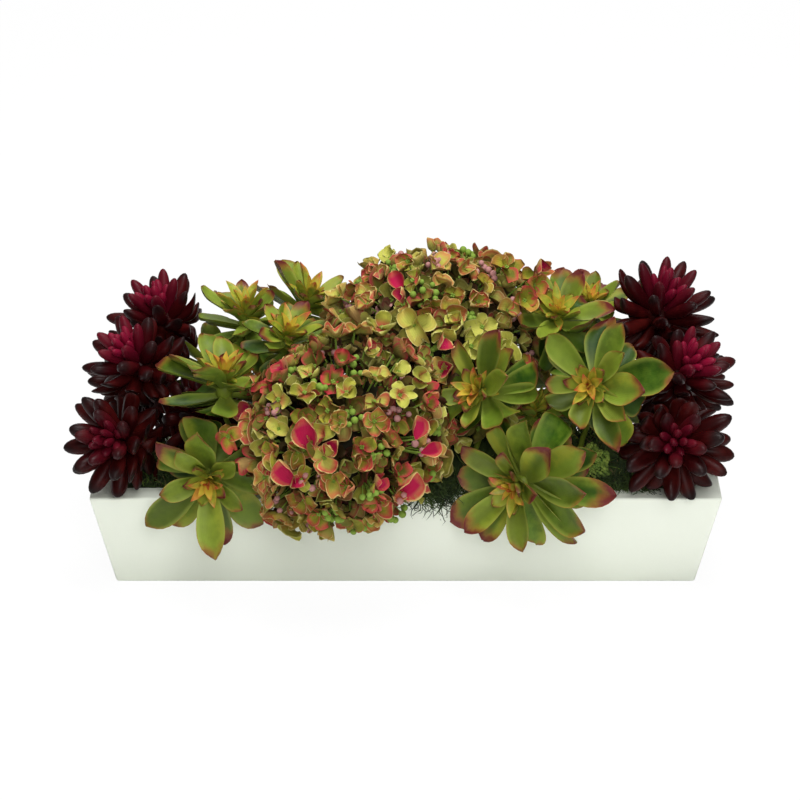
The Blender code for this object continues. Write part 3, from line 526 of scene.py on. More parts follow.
def moss_heap(x, y):
    """How high the moss is heaped along the middle, over the foam."""
    across = max(0.0, 1 - ((y - heap_middle) / heap_half_depth) ** 2)
    return heap_height * across * max(0.0, 1 - (x / heap_half_length) ** 4)


bm = bmesh.new()
bmesh.ops.create_grid(bm, x_segments=150, y_segments=28, size=0.5)
for vert in bm.verts:
    x, y = vert.co.x * moss_length, vert.co.y * moss_depth
    lump = math.sin(x * 190 + 3 * math.sin(y * 120)) * math.cos(y * 170 + 2 * math.sin(x * 90))
    edge = min(1.0, 12 * min(0.5 - abs(vert.co.x), 3 * (0.5 - abs(vert.co.y))))
    height = moss_top - 0.004 + moss_heap(x, y) + (0.003 * lump + 0.0012 * math.sin(x * 800)) * edge
    vert.co = Vector((x, y, height))
rim = sorted(
    (vert for vert in bm.verts if vert.is_boundary),
    key=lambda vert: math.atan2(vert.co.y / moss_depth, vert.co.x / moss_length))
feet = [bm.verts.new((vert.co.x, vert.co.y, moss_foot)) for vert in rim]
for i in range(len(rim)):
    bm.faces.new((rim[i - 1], feet[i - 1], feet[i], rim[i]))
bm.faces.new(feet)
bmesh.ops.recalc_face_normals(bm, faces=bm.faces)
bm.verts.index_update()
moss = Bunch()
moss.plain((
    np.array([vert.co[:] for vert in bm.verts]), [tuple(v.index for v in face.verts) for face in bm.faces]),
    (0.3, 0, 0))
bm.free()


def strand(bunch, draw, root, heading, length, radius, kind, steps=3, curl=0.8):
    """One curling moss strand."""
    places = [root]
    for _ in range(steps):
        heading = (heading + Vector([draw.uniform(-curl, curl) for _ in range(3)])).normalized()
        places.append(places[-1] + heading * length / steps)
    radii = [radius * (1 - 0.4 * step / steps) for step in range(steps)]
    bunch.plain(lofted(tube_rings(places[:-1], radii, 3), places[-1]), kind)


for _ in range(mat_strands):
    x = moss_draw.uniform(-0.5, 0.5) * (moss_length - strand_margin)
    y = moss_draw.uniform(-0.5, 0.5) * (moss_depth - strand_margin)
    lift = Vector((moss_draw.uniform(-0.5, 0.5), moss_draw.uniform(-0.6, 0.4), 1)).normalized()
    root = Vector((x, y, moss_top - strand_sunk + moss_heap(x, y)))
    strand(moss, moss_draw, root, lift, moss_draw.uniform(0.010, 0.024), 0.0007,
           (moss_draw.random(), moss_draw.random(), 0))
# Tufts at the front lip: middle x, half length, nearest root, longest strand, and strands. The middle
# one swells over the lip and hangs down its face a little.
for middle, spread, nearest, longest, number in (
        (0.026, 0.024, -0.074, 0.040, 800), (0.212, 0.036, -0.056, 0.026, 600)):
    for _ in range(number):
        root = Vector((moss_draw.gauss(middle, spread / 2), moss_draw.uniform(nearest, -0.042), moss_top))
        heading = Vector((moss_draw.uniform(-1.2, 1.2), -1, moss_draw.uniform(-0.6, 1.4))).normalized()
        strand(moss, moss_draw, root, heading, moss_draw.uniform(0.5, 1.0) * longest, 0.0006,
               (moss_draw.random() * 0.8, moss_draw.random() * 0.8, 0), 7, 1.1)

moss_fibre, tree, shader = plain_material("preserved_moss", 0.9, (0.05, 0.09, 0.02))
kind = marked(tree, "kind")
strands = mottled(tree, (0.014, 0.030, 0.005), (0.055, 0.095, 0.014), 45.0)
dry = mixed(tree, ramped(tree, kind["X"], 0.72, 0.95), strands["Color"], (0.16, 0.13, 0.05))
bright = mixed(tree, ramped(tree, kind["Y"], 0.75, 0.95, 0.0, 0.7), dry, (0.17, 0.28, 0.04))
tree.links.new(bright, shader.inputs["Base Color"])
moss.grown("moss_pad", moss_fibre, "dark_moss", ("moss_mat",))

# Lichen: a springy clump of pale yellow-green preserved lichen, pushed into the moss at the front
# right. It is a mass of small round knobs over a core painted dark as the shade between them; knobs
# that face down are painted darker, as painted shade.
clump_draw = random.Random(23)
clump = Bunch()
golden_angle = math.radians(137.508)
clump_knobs, clump_radii, clump_core = 330, (0.020, 0.0135, 0.0225), (0.0150, 0.0095, 0.0160)


def knob_shape(middle, axes, radii, sides=7, levels=4):
    """A small closed ellipsoid."""
    u, v, w = axes
    rings = []
    for level in range(1, levels + 1):
        polar = math.pi * level / (levels + 1)
        rings.append([
            middle - w * radii[2] * math.cos(polar)
            + (u * math.cos(a) * radii[0] + v * math.sin(a) * radii[1]) * math.sin(polar)
            for a in (2 * math.pi * k / sides for k in range(sides))])
    return lofted(rings, middle + w * radii[2])


for number in range(clump_knobs):
    azimuth = number * golden_angle
    height = 1 - 1.35 * (number + 0.5) / clump_knobs
    flat = math.sqrt(max(0.0, 1 - height * height))
    outward = Vector((math.cos(azimuth) * flat, math.sin(azimuth) * flat, height))
    lump = 0.84 + 0.20 * math.sin(outward.x * 5 + 1) * math.cos(outward.z * 6 + outward.y * 4)
    middle = clump_centre + outward * Vector(clump_radii) * lump
    middle.z = max(middle.z, moss_top + 0.002)
    size = clump_draw.uniform(0.0011, 0.0024)
    knob = knob_shape(middle, axes_of(outward), (size, size, size * 1.25))
    # The second mark rises with the way the knob faces, so knobs that face down get painted shade
    clump.plain(knob, (clump_draw.random(), 0.5 + outward.z / 2, 0))
points, faces = knob_shape(clump_centre, axes_of((0, 0, 1)), clump_core, 14, 9)
points[:, 2] = np.maximum(points[:, 2], moss_top + 0.001)
# The core has no marks, so it takes the darkest colour, painted shade between the knobs
clump.plain((points, faces))
lichen_skin, tree, shader = plain_material("pale_lichen_skin", 0.85, (0.20, 0.33, 0.06))
kind = marked(tree, "kind")
knobs = mottled(tree, (0.115, 0.205, 0.025), (0.36, 0.46, 0.075), 160.0, 0.9)
# Painted shade: knobs that face down, and the core, are mixed towards near black
shade = ramped(tree, kind["Y"], 0.05, 0.75)
shaded = mixed(tree, shade, (0.012, 0.026, 0.004), knobs["Color"])
tree.links.new(shaded, shader.inputs["Base Color"])
clump.grown("lichen_knobs", lichen_skin, "pale_lichen", ("lichen_clump",))


# Green rosettes: soft moulded leaves in whorls on a short crown, broad and cupped, with paler edges
# and red-brown tips. The lowest leaves hide the stem, which stands in the moss.
crown_heights = (-0.0095, -0.0045, 0.0005, 0.0050, 0.0090)
crown_radii = (0.0050, 0.0080, 0.0085, 0.0072, 0.0052)
# Each whorl's lean in degrees and its leaves' share of the reach. The extra ones, which hang under the
# crown or stand round the heart, also have where they start, how young they are and how they turn.
rosette_whorls, whorl_leaves = ((98, 1.0), (76, 0.90), (52, 0.74)), 5
extra_whorls = ((122, 0.90, 0, 0.0, 0.5), (142, 0.82, 0, 0.0, 0.1), (38, 0.50, 3, 0.9, 0.25))
rosette_twist, leaf_jitter = math.radians(11), math.radians(5)
leaf_breadth, leaf_thickness, leaf_ripple = 0.375, 0.0026, 0.0012
unseen_share, unseen_extra = 0.86, 0.84
most_lean, least_polar, least_shaded = math.radians(30), math.radians(50), math.radians(105)
# How much lighter the leaves of some plants are
leaf_light = {
    "green_left_back": 0.46, "green_top_left": 0.18, "green_inner_left": 0.15, "green_front_right": 0.14,
    "green_right": -0.08}
leaf_outline = (
    (0.0, 0.24), (0.10, 0.34), (0.20, 0.47), (0.31, 0.63), (0.42, 0.79), (0.53, 0.92), (0.63, 0.99),
    (0.71, 1.0), (0.79, 0.93), (0.86, 0.78), (0.92, 0.55), (0.965, 0.28), (0.99, 0.09))


def midrib(root, axes, azimuth, polar, length, bend):
    """A function that gives place, direction and face along a leaf's arched midrib."""
    along = axes[2]
    outward = axes[0] * math.cos(azimuth) + axes[1] * math.sin(azimuth)

    def at(share):
        angle = polar + bend * (share - 0.5)
        mean = polar + bend * (share / 2 - 0.5)
        place = root + (outward * math.sin(mean) + along * math.cos(mean)) * length * share
        direction = outward * math.sin(angle) + along * math.cos(angle)
        return place, direction, along * math.sin(angle) - outward * math.cos(angle)

    return at


def blade(at, width, outline, cup, thick, roll=0.0, across=3, wave=(0.0, 0.0, 0.0), fold=0.0):
    """A leaf or petal with a thin rim: its points, faces, and share, across and underside marks.

    Its sides rise by cup and along a crease by fold, in widths; wave gives the height of the ripple
    round its rim in metres, its number and its start.
    """
    rings, marks = [], []
    for share, breadth in outline:
        place, direction, face = at(share)
        turned = Matrix.Rotation(roll * share, 3, direction)
        side, up = turned @ face.cross(direction), turned @ face
        half = width * breadth / 2
        lifted = width * min(1.0, breadth * 1.3)
        ring = []
        for k in range(2 * across):
            under = k > across
            t = (2 * k / across - 1) if not under else (3 - 2 * k / across)
            rise = lifted * (cup * t * t + fold * abs(t))
            rise += wave[0] * t * t * breadth * math.sin(wave[1] * share + wave[2] + 2.2 * t)
            rise += wave[0] * share ** 3 * math.sin(4.5 * t + wave[2])
            drop = thick * (1 - t * t) * min(1.0, 0.35 + breadth) if under else 0.0
            ring.append(place + side * (t * half) + up * (rise - drop))
            marks.append((share, t, float(under)))
        ring.reverse()
        marks[-2 * across:] = reversed(marks[-2 * across:])
        rings.append(ring)
    place, _, face = at(1.0)
    marks.append((1.0, 0.0, 0.0))
    points, faces = lofted(rings, place + face * wave[0] * math.sin(wave[2]))
    return points, faces, np.array(marks)


def crown_rings(centre, axes, turn, heights, radii):
    """Rings of a crown, at heights along the last axis."""
    u, v, along = axes
    return [
        circle(centre + along * height, u, v, radius, stem_sides, turn)
        for height, radius in zip(heights, radii)]


def whorl_azimuth(turn, row, j):
    """The azimuth of one leaf: each whorl turns by half a step and a little more."""
    return turn + rosette_twist * (row + 1) + 2 * math.pi * (j + row / 2) / whorl_leaves


def leaves_to_tips(plant, axes, tips):
    """The runs of the leaves that meet the tips seen, by row and place, and the runs of stray ones.

    Each tip takes the free leaf that points most nearly its way, on the near or the far side.
    """
    pairs, strays = [], {}
    for row, (polar, size) in enumerate(rosette_whorls):
        for j in range(whorl_leaves):
            ahead = toward(axes, whorl_azimuth(plant["turn"], row, j), math.radians(polar))
            for tip, (right, above) in enumerate(tips):
                flat = Vector((right, 0, 0)) * 0.001 + view_up * above * 0.001
                length = max(plant["reach"] * size, flat.length * 1.02)
                depth = view_front * math.sqrt(length ** 2 - flat.length_squared)
                for run in (flat + depth, flat - depth):
                    if axes[2].angle(run) > least_polar:
                        pairs.append((ahead.angle(run), tip, (row, j), run))
                        strays.setdefault(tip, run)
    runs, met = {}, set()
    for lean, tip, leaf, run in sorted(pairs, key=lambda pair: pair[0]):
        if lean < most_lean and tip not in met and leaf not in runs:
            met.add(tip)
            runs[leaf] = run
    return runs, [run for tip, run in strays.items() if tip not in met]


leaf_green, tree, shader = plain_material("moulded_green_leaf", 0.40, (0.10, 0.20, 0.03))
place, kind = marked(tree, "place"), marked(tree, "kind")
share, across, under = place["X"], reckoned(tree, "ABSOLUTE", place["Y"]), place["Z"]
tint, young, blush = kind["X"], kind["Y"], kind["Z"]
body = mottled(tree, (0.019, 0.058, 0.003), (0.078, 0.170, 0.009), 34.0)
fine = mottled(tree, body["Color"], (0.158, 0.248, 0.020), 80.0, 0.5)
warm = mixed(tree, ramped(tree, tint, 0.45, 1.0, 0.0, 0.65), fine["Color"], (0.222, 0.304, 0.034))
# deep: a darker green for low tints, partly the leaves' own tone and partly painted shade on the hanging
# leaves
deep = mixed(tree, ramped(tree, tint, 0.40, 0.0, 0.0, 0.75), warm, (0.016, 0.042, 0.003))
side = plus(tree, place["Y"], times(tree, body["Mask"], 0.8))
gold = times(tree, ramped(tree, side, 0.4, 1.2), ramped(tree, tint, 0.45, 0.90, 0.0, 0.60))
sunny = mixed(tree, gold, deep, (0.380, 0.360, 0.035))
streak = times(tree, ramped(tree, across, 0.60, 0.05), ramped(tree, share, 0.30, 0.55))
streak = times(tree, streak, ramped(tree, blush, 0.25, 0.70, 0.0, 0.75))
streaked = mixed(tree, streak, sunny, (0.014, 0.052, 0.006))
inner = mixed(tree, times(tree, young, 0.75), streaked, (0.340, 0.370, 0.035))
base = mixed(tree, ramped(tree, share, 0.05, 0.50, 0.65, 0.0), inner, (0.270, 0.330, 0.050))
edge = mixed(tree, ramped(tree, across, 0.66, 1.0, 0.0, 0.55), base, (0.310, 0.370, 0.060))
tip_line = plus(tree, share, times(tree, across, 0.12))
tip_line = plus(tree, tip_line, times(tree, blush, 0.22))
tip_line = reckoned(tree, "SUBTRACT", tip_line, times(tree, fine["Mask"], 0.07))
bronze = mixed(tree, ramped(tree, tip_line, 0.90, 1.06, 0.0, 0.80), edge, (0.260, 0.110, 0.020))
tipped = mixed(tree, ramped(tree, tip_line, 0.98, 1.14, 0.0, 0.95), bronze, (0.125, 0.013, 0.016))
thread = times(tree, ramped(tree, across, 0.93, 1.0), ramped(tree, share, 0.35, 0.80))
lined = mixed(tree, times(tree, thread, 0.60), tipped, (0.420, 0.150, 0.030))
pale = mixed(tree, times(tree, under, 0.35), lined, (0.170, 0.230, 0.045))
tree.links.new(pale, shader.inputs["Base Color"])


def wavy_lines(tree, place, scale, distortion):
    """Wavy lines that run along a leaf or petal, side by side across it."""
    along = new_node(tree, "ShaderNodeCombineXYZ", X=place["Y"], Y=place["X"]).outputs[0]
    return new_node(
        tree, "ShaderNodeTexWave", {"wave_type": "BANDS", "bands_direction": "X"}, Vector=along, Scale=scale,
        Distortion=distortion, Detail=2.0).outputs["Fac"]


veins = wavy_lines(tree, place, 3.0, 2.0)
bumped(tree, shader, 0.18, 0.0006, plus(tree, times(tree, veins, 0.5), fine["Mask"]))
tree.links.new(ramped(tree, body["Mask"], 0.0, 1.0, 0.40, 0.54), shader.inputs["Roughness"])


def translucent(shader, specular, weight, radius):
    """Sets how the moulded leaf shines and how deep the light goes into it."""
    shader.inputs["Specular IOR Level"].default_value = specular
    shader.inputs["Subsurface Weight"].default_value = weight
    shader.inputs["Subsurface Radius"].default_value = radius


translucent(shader, 0.24, 0.08, (0.004, 0.006, 0.002))

for name in rosettes:
    plant = plants[name]
    draw = random.Random(plant["seed"])
    axes, centre, reach, turn, walls = set_out(name)
    runs, strays = leaves_to_tips(plant, axes, tips_seen.get(name, ()))
    rosette = Bunch()
    leaves = []
    for row, (polar, size) in enumerate(rosette_whorls):
        for j in range(whorl_leaves):
            azimuth = whorl_azimuth(turn, row, j)
            length = reach * size * draw.uniform(0.90, 1.06)
            azimuth += draw.uniform(-leaf_jitter, leaf_jitter)
            lean = math.radians(polar) + draw.uniform(-leaf_jitter, leaf_jitter)
            bend = draw.uniform(0.0, 0.5)
            roll = draw.uniform(-0.3, 0.3)
            if (row, j) in runs:
                run = runs[row, j]
                length, lean = run.length, axes[2].angle(run)
                azimuth = math.atan2(run.dot(axes[1]), run.dot(axes[0]))
            elif len(runs) > 2:
                length *= unseen_share
            leaves.append((crown_heights[row + 1], azimuth, lean, length, bend, roll, row / 5))
    more = random.Random(plant["seed"] + 500)
    for run in strays:
        leaves.append((
            crown_heights[2], math.atan2(run.dot(axes[1]), run.dot(axes[0])), axes[2].angle(run), run.length,
            0.2, 0.0, 0.2))
    for polar, size, lift, age, shift in extra_whorls:
        for j in range(whorl_leaves):
            azimuth = turn + rosette_twist + 2 * math.pi * (j + shift) / whorl_leaves
            azimuth += more.uniform(-0.15, 0.15)
            lean = math.radians(polar) + more.uniform(-0.10, 0.10)
            length = reach * size * more.uniform(0.88, 1.04) * (unseen_extra if len(runs) > 2 else 1.0)
            bend, roll = more.uniform(0.0, 0.4), more.uniform(-0.3, 0.3)
            leaves.append((crown_heights[lift], azimuth, lean, length, bend, roll, age))
    for height, azimuth, lean, length, bend, roll, age in leaves:
        at = midrib(centre + axes[2] * height, axes, azimuth, lean, length, bend)
        points, faces, marks = blade(
            at, length * leaf_breadth * more.uniform(0.86, 1.14), leaf_outline, more.uniform(0.05, 0.15),
            leaf_thickness, roll, 4, (leaf_ripple, more.uniform(2, 5), more.uniform(0, 6)),
            more.uniform(0.03, 0.09))
        # Leaves leaning past least_shaded draw less tint, so they are painted darker as painted shade under
        # the rosette
        tint = more.random() * (0.6 if lean > least_shaded else 1.0) + leaf_light.get(name, 0.0)
        rosette.add(pressed(points, walls), faces, marks, (tint, age, more.random() ** 1.3))
    crown = crown_rings(centre, axes, turn, crown_heights, crown_radii)
    points, faces = lofted(stem_rings(plant, axes) + crown)
    rosette.add(points, faces, np.tile((0.3, 0, 0), (len(points), 1)), (0.5, 0.5, 0))
    rosette.grown(name + "_leaves", leaf_green, "succulent_green", (name + "_rosette",))

# Hearts: the young leaves in the middle of each rosette, a small separate pick of narrow pointed
# leaves that go from yellow-green at the foot through orange to red at the tip.
heart_outline = (
    (0.0, 0.42), (0.15, 0.58), (0.30, 0.82), (0.45, 0.98), (0.58, 1.0), (0.70, 0.86), (0.82, 0.60),
    (0.92, 0.30))
heart_yellow, tree, shader = plain_material("moulded_orange_leaf", 0.42, (0.72, 0.38, 0.08))
place, kind = marked(tree, "place"), marked(tree, "kind")
streaks = mottled(tree, (0.190, 0.270, 0.020), (0.430, 0.420, 0.045), 90.0)
age = kind["Y"]
golden = mixed(
    tree, ramped(tree, age, 0.2, 0.65, 0.0, 0.85), streaks["Color"], (0.610, 0.440, 0.045))
young_red = mixed(tree, ramped(tree, age, 0.7, 1.0, 0.0, 0.80), golden, (0.500, 0.080, 0.032))
rosy = mixed(tree, ramped(tree, kind["X"], 0.75, 1.0, 0.0, 0.6), young_red, (0.560, 0.150, 0.035))
end = plus(tree, place["X"], times(tree, kind["Z"], 0.30))
tipped = mixed(tree, ramped(tree, end, 0.82, 1.18, 0.0, 0.9), rosy, (0.460, 0.045, 0.030))
lit = mixed(
    tree, ramped(tree, reckoned(tree, "ABSOLUTE", place["Y"]), 0.60, 1.0, 0.0, 0.5), tipped,
    (0.700, 0.340, 0.045))
tree.links.new(lit, shader.inputs["Base Color"])
bumped(tree, shader, 0.15, 0.0004, streaks["Mask"])
translucent(shader, 0.35, 0.12, (0.005, 0.003, 0.001))

heart_seed, seat_gap, heart_thickness = 1000, 0.0003, 0.0018
heart_heights, heart_radii = (0.0, 0.0022, 0.0048, 0.0070), (0.0042, 0.0046, 0.0036, 0.0018)
# Each row's lean in degrees, share of the longest leaf, and leaves
heart_rows, heart_length = ((64, 0.80, 5), (40, 1.0, 5), (22, 0.74, 4), (10, 0.45, 3)), 0.034
heart_lengths = {
    "green_left": 0.038, "green_left_back": 0.040, "green_top_left": 0.036, "green_top_right": 0.026}
# How orange the young leaves are, from 0 to 1: mostly their own colour, but the low plant's are
# held yellow-green as painted shade
ripeness_and_shade_by_plant = {
    "green_low_right": 0.3, "green_left_back": 0.55, "green_top_left": 0.7, "green_inner_right": 0.75,
    "green_inner_left": 0.8}
for name in rosettes:
    draw = random.Random(plants[name]["seed"] + heart_seed)
    axes, centre, _, turn, walls = set_out(name)
    seat = centre + axes[2] * (crown_heights[-1] + seat_gap)
    heart = Bunch()
    full = heart_lengths.get(name, heart_length)
    ripeness_and_shade = ripeness_and_shade_by_plant.get(name, 1.0)
    for row, (polar, size, number) in enumerate(heart_rows):
        for j in range(number):
            length = full * size * draw.uniform(0.85, 1.12)
            azimuth = turn + math.radians(40 + 35 * row) + 2 * math.pi * j / number
            at = midrib(
                seat + axes[2] * heart_heights[min(row, 2)], axes, azimuth + draw.uniform(-0.3, 0.3),
                math.radians(polar + draw.uniform(-8, 8)), length, draw.uniform(-0.1, 0.5))
            points, faces, marks = blade(
                at, length * draw.uniform(0.25, 0.34), heart_outline, 0.16, heart_thickness,
                draw.uniform(-0.4, 0.4), 2, fold=0.10)
            heart.add(
                pressed(points, walls), faces, marks,
                (draw.random() * ripeness_and_shade, row / 3 * ripeness_and_shade, draw.random() * ripeness_and_shade))
    heart.plain(lofted(crown_rings(seat, axes, 0, heart_heights, heart_radii)))
    heart.grown(name + "_young_leaves", heart_yellow, "succulent_orange", (name + "_heart",))


# Dark succulents: plump glossy leaves set all round a ball, cast in translucent burgundy vinyl. The
# older ones are nearly black at their blunt tips; the youngest, in the middle, are crimson.
ball_radius, seat_polar = 0.0170, math.radians(36)
finger_rows, row_fingers = ((135, 0.98), (112, 1.0), (90, 1.0), (68, 0.97), (46, 0.90)), 6
finger_twist, finger_radius, finger_flatness = math.radians(9), 0.0089, 0.88
inner_fingers, inner_polar = 5, 29
young_rows = ((30, 0.54, 6), (10, 0.60, 3))
finger_outline = (
    (0.0, 0.50), (0.15, 0.62), (0.30, 0.79), (0.45, 0.92), (0.57, 0.99), (0.67, 1.0), (0.77, 0.95),
    (0.86, 0.82), (0.93, 0.61), (0.98, 0.32))


def finger(at, radius, sides=10):
    """A plump leaf, a little flattened, with a blunt end."""
    rings, marks = [], []
    for share, breadth in finger_outline:
        place, direction, face = at(share)
        side = face.cross(direction)
        rings.append([
            place + (side * math.cos(a) + face * math.sin(a) * finger_flatness) * radius * breadth
            for a in (2 * math.pi * k / sides for k in range(sides))])
        marks += [(share, 0, 0)] * sides
        rings[-1].reverse()
    points, faces = lofted(rings, at(1.0)[0])
    return points, faces, np.array(marks + [(1.0, 0, 0)])


vinyl_burgundy, tree, shader = plain_material("burgundy_vinyl", 0.30, (0.09, 0.008, 0.014))
place, kind = marked(tree, "place"), marked(tree, "kind")
cast = mottled(tree, (0.017, 0.0014, 0.0010), (0.054, 0.0036, 0.0024), 42.0, 0.9)
# The young fingers' own crimson, turned up or down for each head by painted light and shade
youth_and_light = mixed(tree, kind["Y"], cast["Color"], (0.185, 0.005, 0.024))
dusk = plus(tree, place["X"], times(tree, kind["X"], 0.20))
dusk = ramped(tree, dusk, 0.84, 1.10, 0.0, 0.88)
dusk = times(tree, dusk, ramped(tree, kind["Y"], 0.5, 0.0))
tree.links.new(mixed(tree, dusk, youth_and_light, (0.010, 0.007, 0.007)), shader.inputs["Base Color"])
bumped(tree, shader, 0.12, 0.0006, cast["Mask"])
tree.links.new(ramped(tree, cast["Mask"], 0.0, 1.0, 0.34, 0.48), shader.inputs["Roughness"])
translucent(shader, 0.11, 0.06, (0.008, 0.001, 0.002))

# How crimson the young leaves of each are, from 0 to 1: their own colour, painted brighter on the
# higher heads and duller on the low one, as painted light and shade
crimson_and_light_by_plant = {
    "burgundy_left_middle": 1.0, "burgundy_right_middle": 1.0, "burgundy_left_top": 0.9,
    "burgundy_right_top": 0.7, "burgundy_low_left": 0.15}
for name in succulents:
    plant = plants[name]
    draw = random.Random(plant["seed"])
    axes, centre, reach, turn, walls = set_out(name)
    head, heart = Bunch(), Bunch()
    crimson_and_light, slim = crimson_and_light_by_plant.get(name, 0.4), 1.0 if "front" in name else 0.86
    for row, (polar, size) in enumerate(finger_rows):
        for j in range(row_fingers):
            azimuth = turn + finger_twist * (row + 1) + 2 * math.pi * (j + row / 2) / row_fingers
            length = reach * size * draw.uniform(0.92, 1.05)
            azimuth += draw.uniform(-leaf_jitter, leaf_jitter) / 2
            lean = math.radians(polar) + draw.uniform(-leaf_jitter, leaf_jitter) / 2
            bend = draw.uniform(-0.3, 0.0)
            radius = finger_radius * slim * draw.uniform(0.88, 1.06)
            points, faces, marks = finger(midrib(centre, axes, azimuth, lean, length, bend), radius)
            head.add(pressed(points, walls), faces, marks, (draw.random(), 0.12 * row * row / 16 * crimson_and_light, 0))
    for j in range(inner_fingers):
        azimuth = turn + 0.5 + 2 * math.pi * j / inner_fingers
        lean = math.radians(inner_polar + draw.uniform(-3, 3))
        at = midrib(centre, axes, azimuth, lean, reach * 0.90, 0.0)
        points, faces, marks = finger(at, finger_radius * slim * 0.84)
        head.add(pressed(points, walls), faces, marks, (draw.random(), 0.45 * crimson_and_light, 0))
    head.plain(knob_shape(centre, axes, (ball_radius,) * 3, 14, 9), (0.5, 0, 0))
    crown = crown_rings(centre, axes, 0, (-0.014, -0.010), (0.0060, 0.0080))
    head.plain(lofted(stem_rings(plant, axes) + crown), (0.5, 0, 0))
    head.grown(name + "_fingers", vinyl_burgundy, "succulent_burgundy", (name + "_succulent",))
    seat = centre + axes[2] * (ball_radius * math.cos(seat_polar) + seat_gap)
    for row, (polar, size, number) in enumerate(young_rows):
        for j in range(number):
            azimuth = turn + math.radians(25 + 50 * row) + 2 * math.pi * j / number
            length = reach * size * draw.uniform(0.86, 1.10)
            at = midrib(seat, axes, azimuth, math.radians(polar), length, -0.1)
            points, faces, marks = finger(at, finger_radius * draw.uniform(0.46, 0.58), 8)
            heart.add(pressed(points, walls), faces, marks, (draw.random(), crimson_and_light, 0))
    heart.grown(name + "_young_fingers", vinyl_burgundy, "succulent_magenta", (name + "_heart",))


# Hydrangea heads: cloth florets of four wavy petals, olive and yellow-green with crimson edges and
# flushes, packed over a hidden core that is painted near black as the shade inside the head, with big
# crimson petals and stalked green and pink buds.
petal_outline = (
    (0.0, 0.16), (0.10, 0.38), (0.22, 0.66), (0.36, 0.88), (0.50, 0.99), (0.64, 1.0), (0.77, 0.93),
    (0.88, 0.75), (0.95, 0.50))
petal_cloth, tree, shader = plain_material("printed_petal_cloth", 0.75, (0.36, 0.35, 0.08))
place, kind = marked(tree, "place"), marked(tree, "kind")
share, across, under = place["X"], reckoned(tree, "ABSOLUTE", place["Y"]), place["Z"]
tint, flush, part = kind["X"], kind["Y"], kind["Z"]
cloth = mottled(tree, (0.155, 0.165, 0.009), (0.360, 0.340, 0.028), 60.0)
sunny = mixed(
    tree, ramped(tree, tint, 0.50, 1.0, 0.0, 0.75), cloth["Color"], (0.580, 0.580, 0.110))
dull = mixed(tree, ramped(tree, tint, 0.35, 0.0, 0.0, 0.80), sunny, (0.085, 0.080, 0.008))
fold = wavy_lines(tree, place, 1.6, 2.5)
veined = mixed(tree, times(tree, fold, 0.12), dull, (0.120, 0.115, 0.008))
rim_line = reckoned(tree, "MAXIMUM", across, share)
edge_line = plus(tree, rim_line, times(tree, cloth["Mask"], 0.18))
flushed = times(tree, ramped(tree, flush, 0.0, 1.0), ramped(tree, edge_line, 0.58, 1.02))
pink = mixed(tree, times(tree, flushed, 0.92), veined, (0.500, 0.022, 0.046))
heart_flush = times(tree, ramped(tree, flush, -0.2, -1.0), ramped(tree, share, 0.62, 0.15))
coral = mixed(tree, times(tree, heart_flush, 0.9), pink, (0.440, 0.028, 0.045))
crimson_mask = times(tree, ramped(tree, flush, 1.2, 1.8), ramped(tree, rim_line, 0.94, 0.66))
full = mixed(tree, crimson_mask, coral, (0.430, 0.007, 0.060))
rim_tone = mixed(tree, ramped(tree, tint, 0.30, 0.44), (0.520, 0.050, 0.060), (0.640, 0.600, 0.210))
rim = mixed(tree, times(tree, ramped(tree, rim_line, 0.90, 0.99), 0.80), full, rim_tone)
back_share = times(tree, under, ramped(tree, flush, 1.1, 1.9, 0.45, 0.80))
backed = mixed(tree, back_share, rim, (0.330, 0.260, 0.070))
# Painted shade: the deeper a floret lies, the more its colour is mixed towards dark brown
depth_painted_shade = mixed(tree, ramped(tree, part, 0.0, -1.0, 0.0, 0.92), backed, (0.026, 0.011, 0.003))
green = mixed(tree, ramped(tree, part, 0.4, 0.6), depth_painted_shade, (0.200, 0.310, 0.040))
rose = mixed(tree, ramped(tree, part, 0.9, 1.1), green, (0.450, 0.215, 0.200))
# A part mark of 2 and more, the hidden core, is painted near black as the shade inside the head
dark = mixed(tree, ramped(tree, part, 1.9, 2.1), rose, (0.018, 0.014, 0.004))
tree.links.new(dark, shader.inputs["Base Color"])
shader.inputs["Specular IOR Level"].default_value = 0.25
weave = new_node(
    tree, "ShaderNodeTexNoise", Vector=new_node(tree, "ShaderNodeTexCoord").outputs["Object"], Scale=900.0)
bumped(tree, shader, 0.25, 0.0004, plus(tree, weave.outputs["Fac"], times(tree, fold, 1.5)))

floret_seed = 2000
cap_polar, petal_room, petal_thickness = math.radians(114), 0.004, 0.0006
head_height, core_share, core_flat, stalk_sunk = 0.89, 0.68, 0.70, 0.003
swell_most, bud_clusters, stalk_kind = 0.024, 30, (0, 0, 0.7)
crimson_chance, crimson_lift = 0.05, 0.0016
# The layers of florets: how many, how far they are sunk at least and at most, how unevenly they face,
# and how deep they lie for their painted shade
floret_layers = (
    (130, -0.005, 0.010, 0.60, 0.0), (100, 0.010, 0.021, 0.80, 0.45), (100, 0.021, 0.030, 1.0, 1.0))
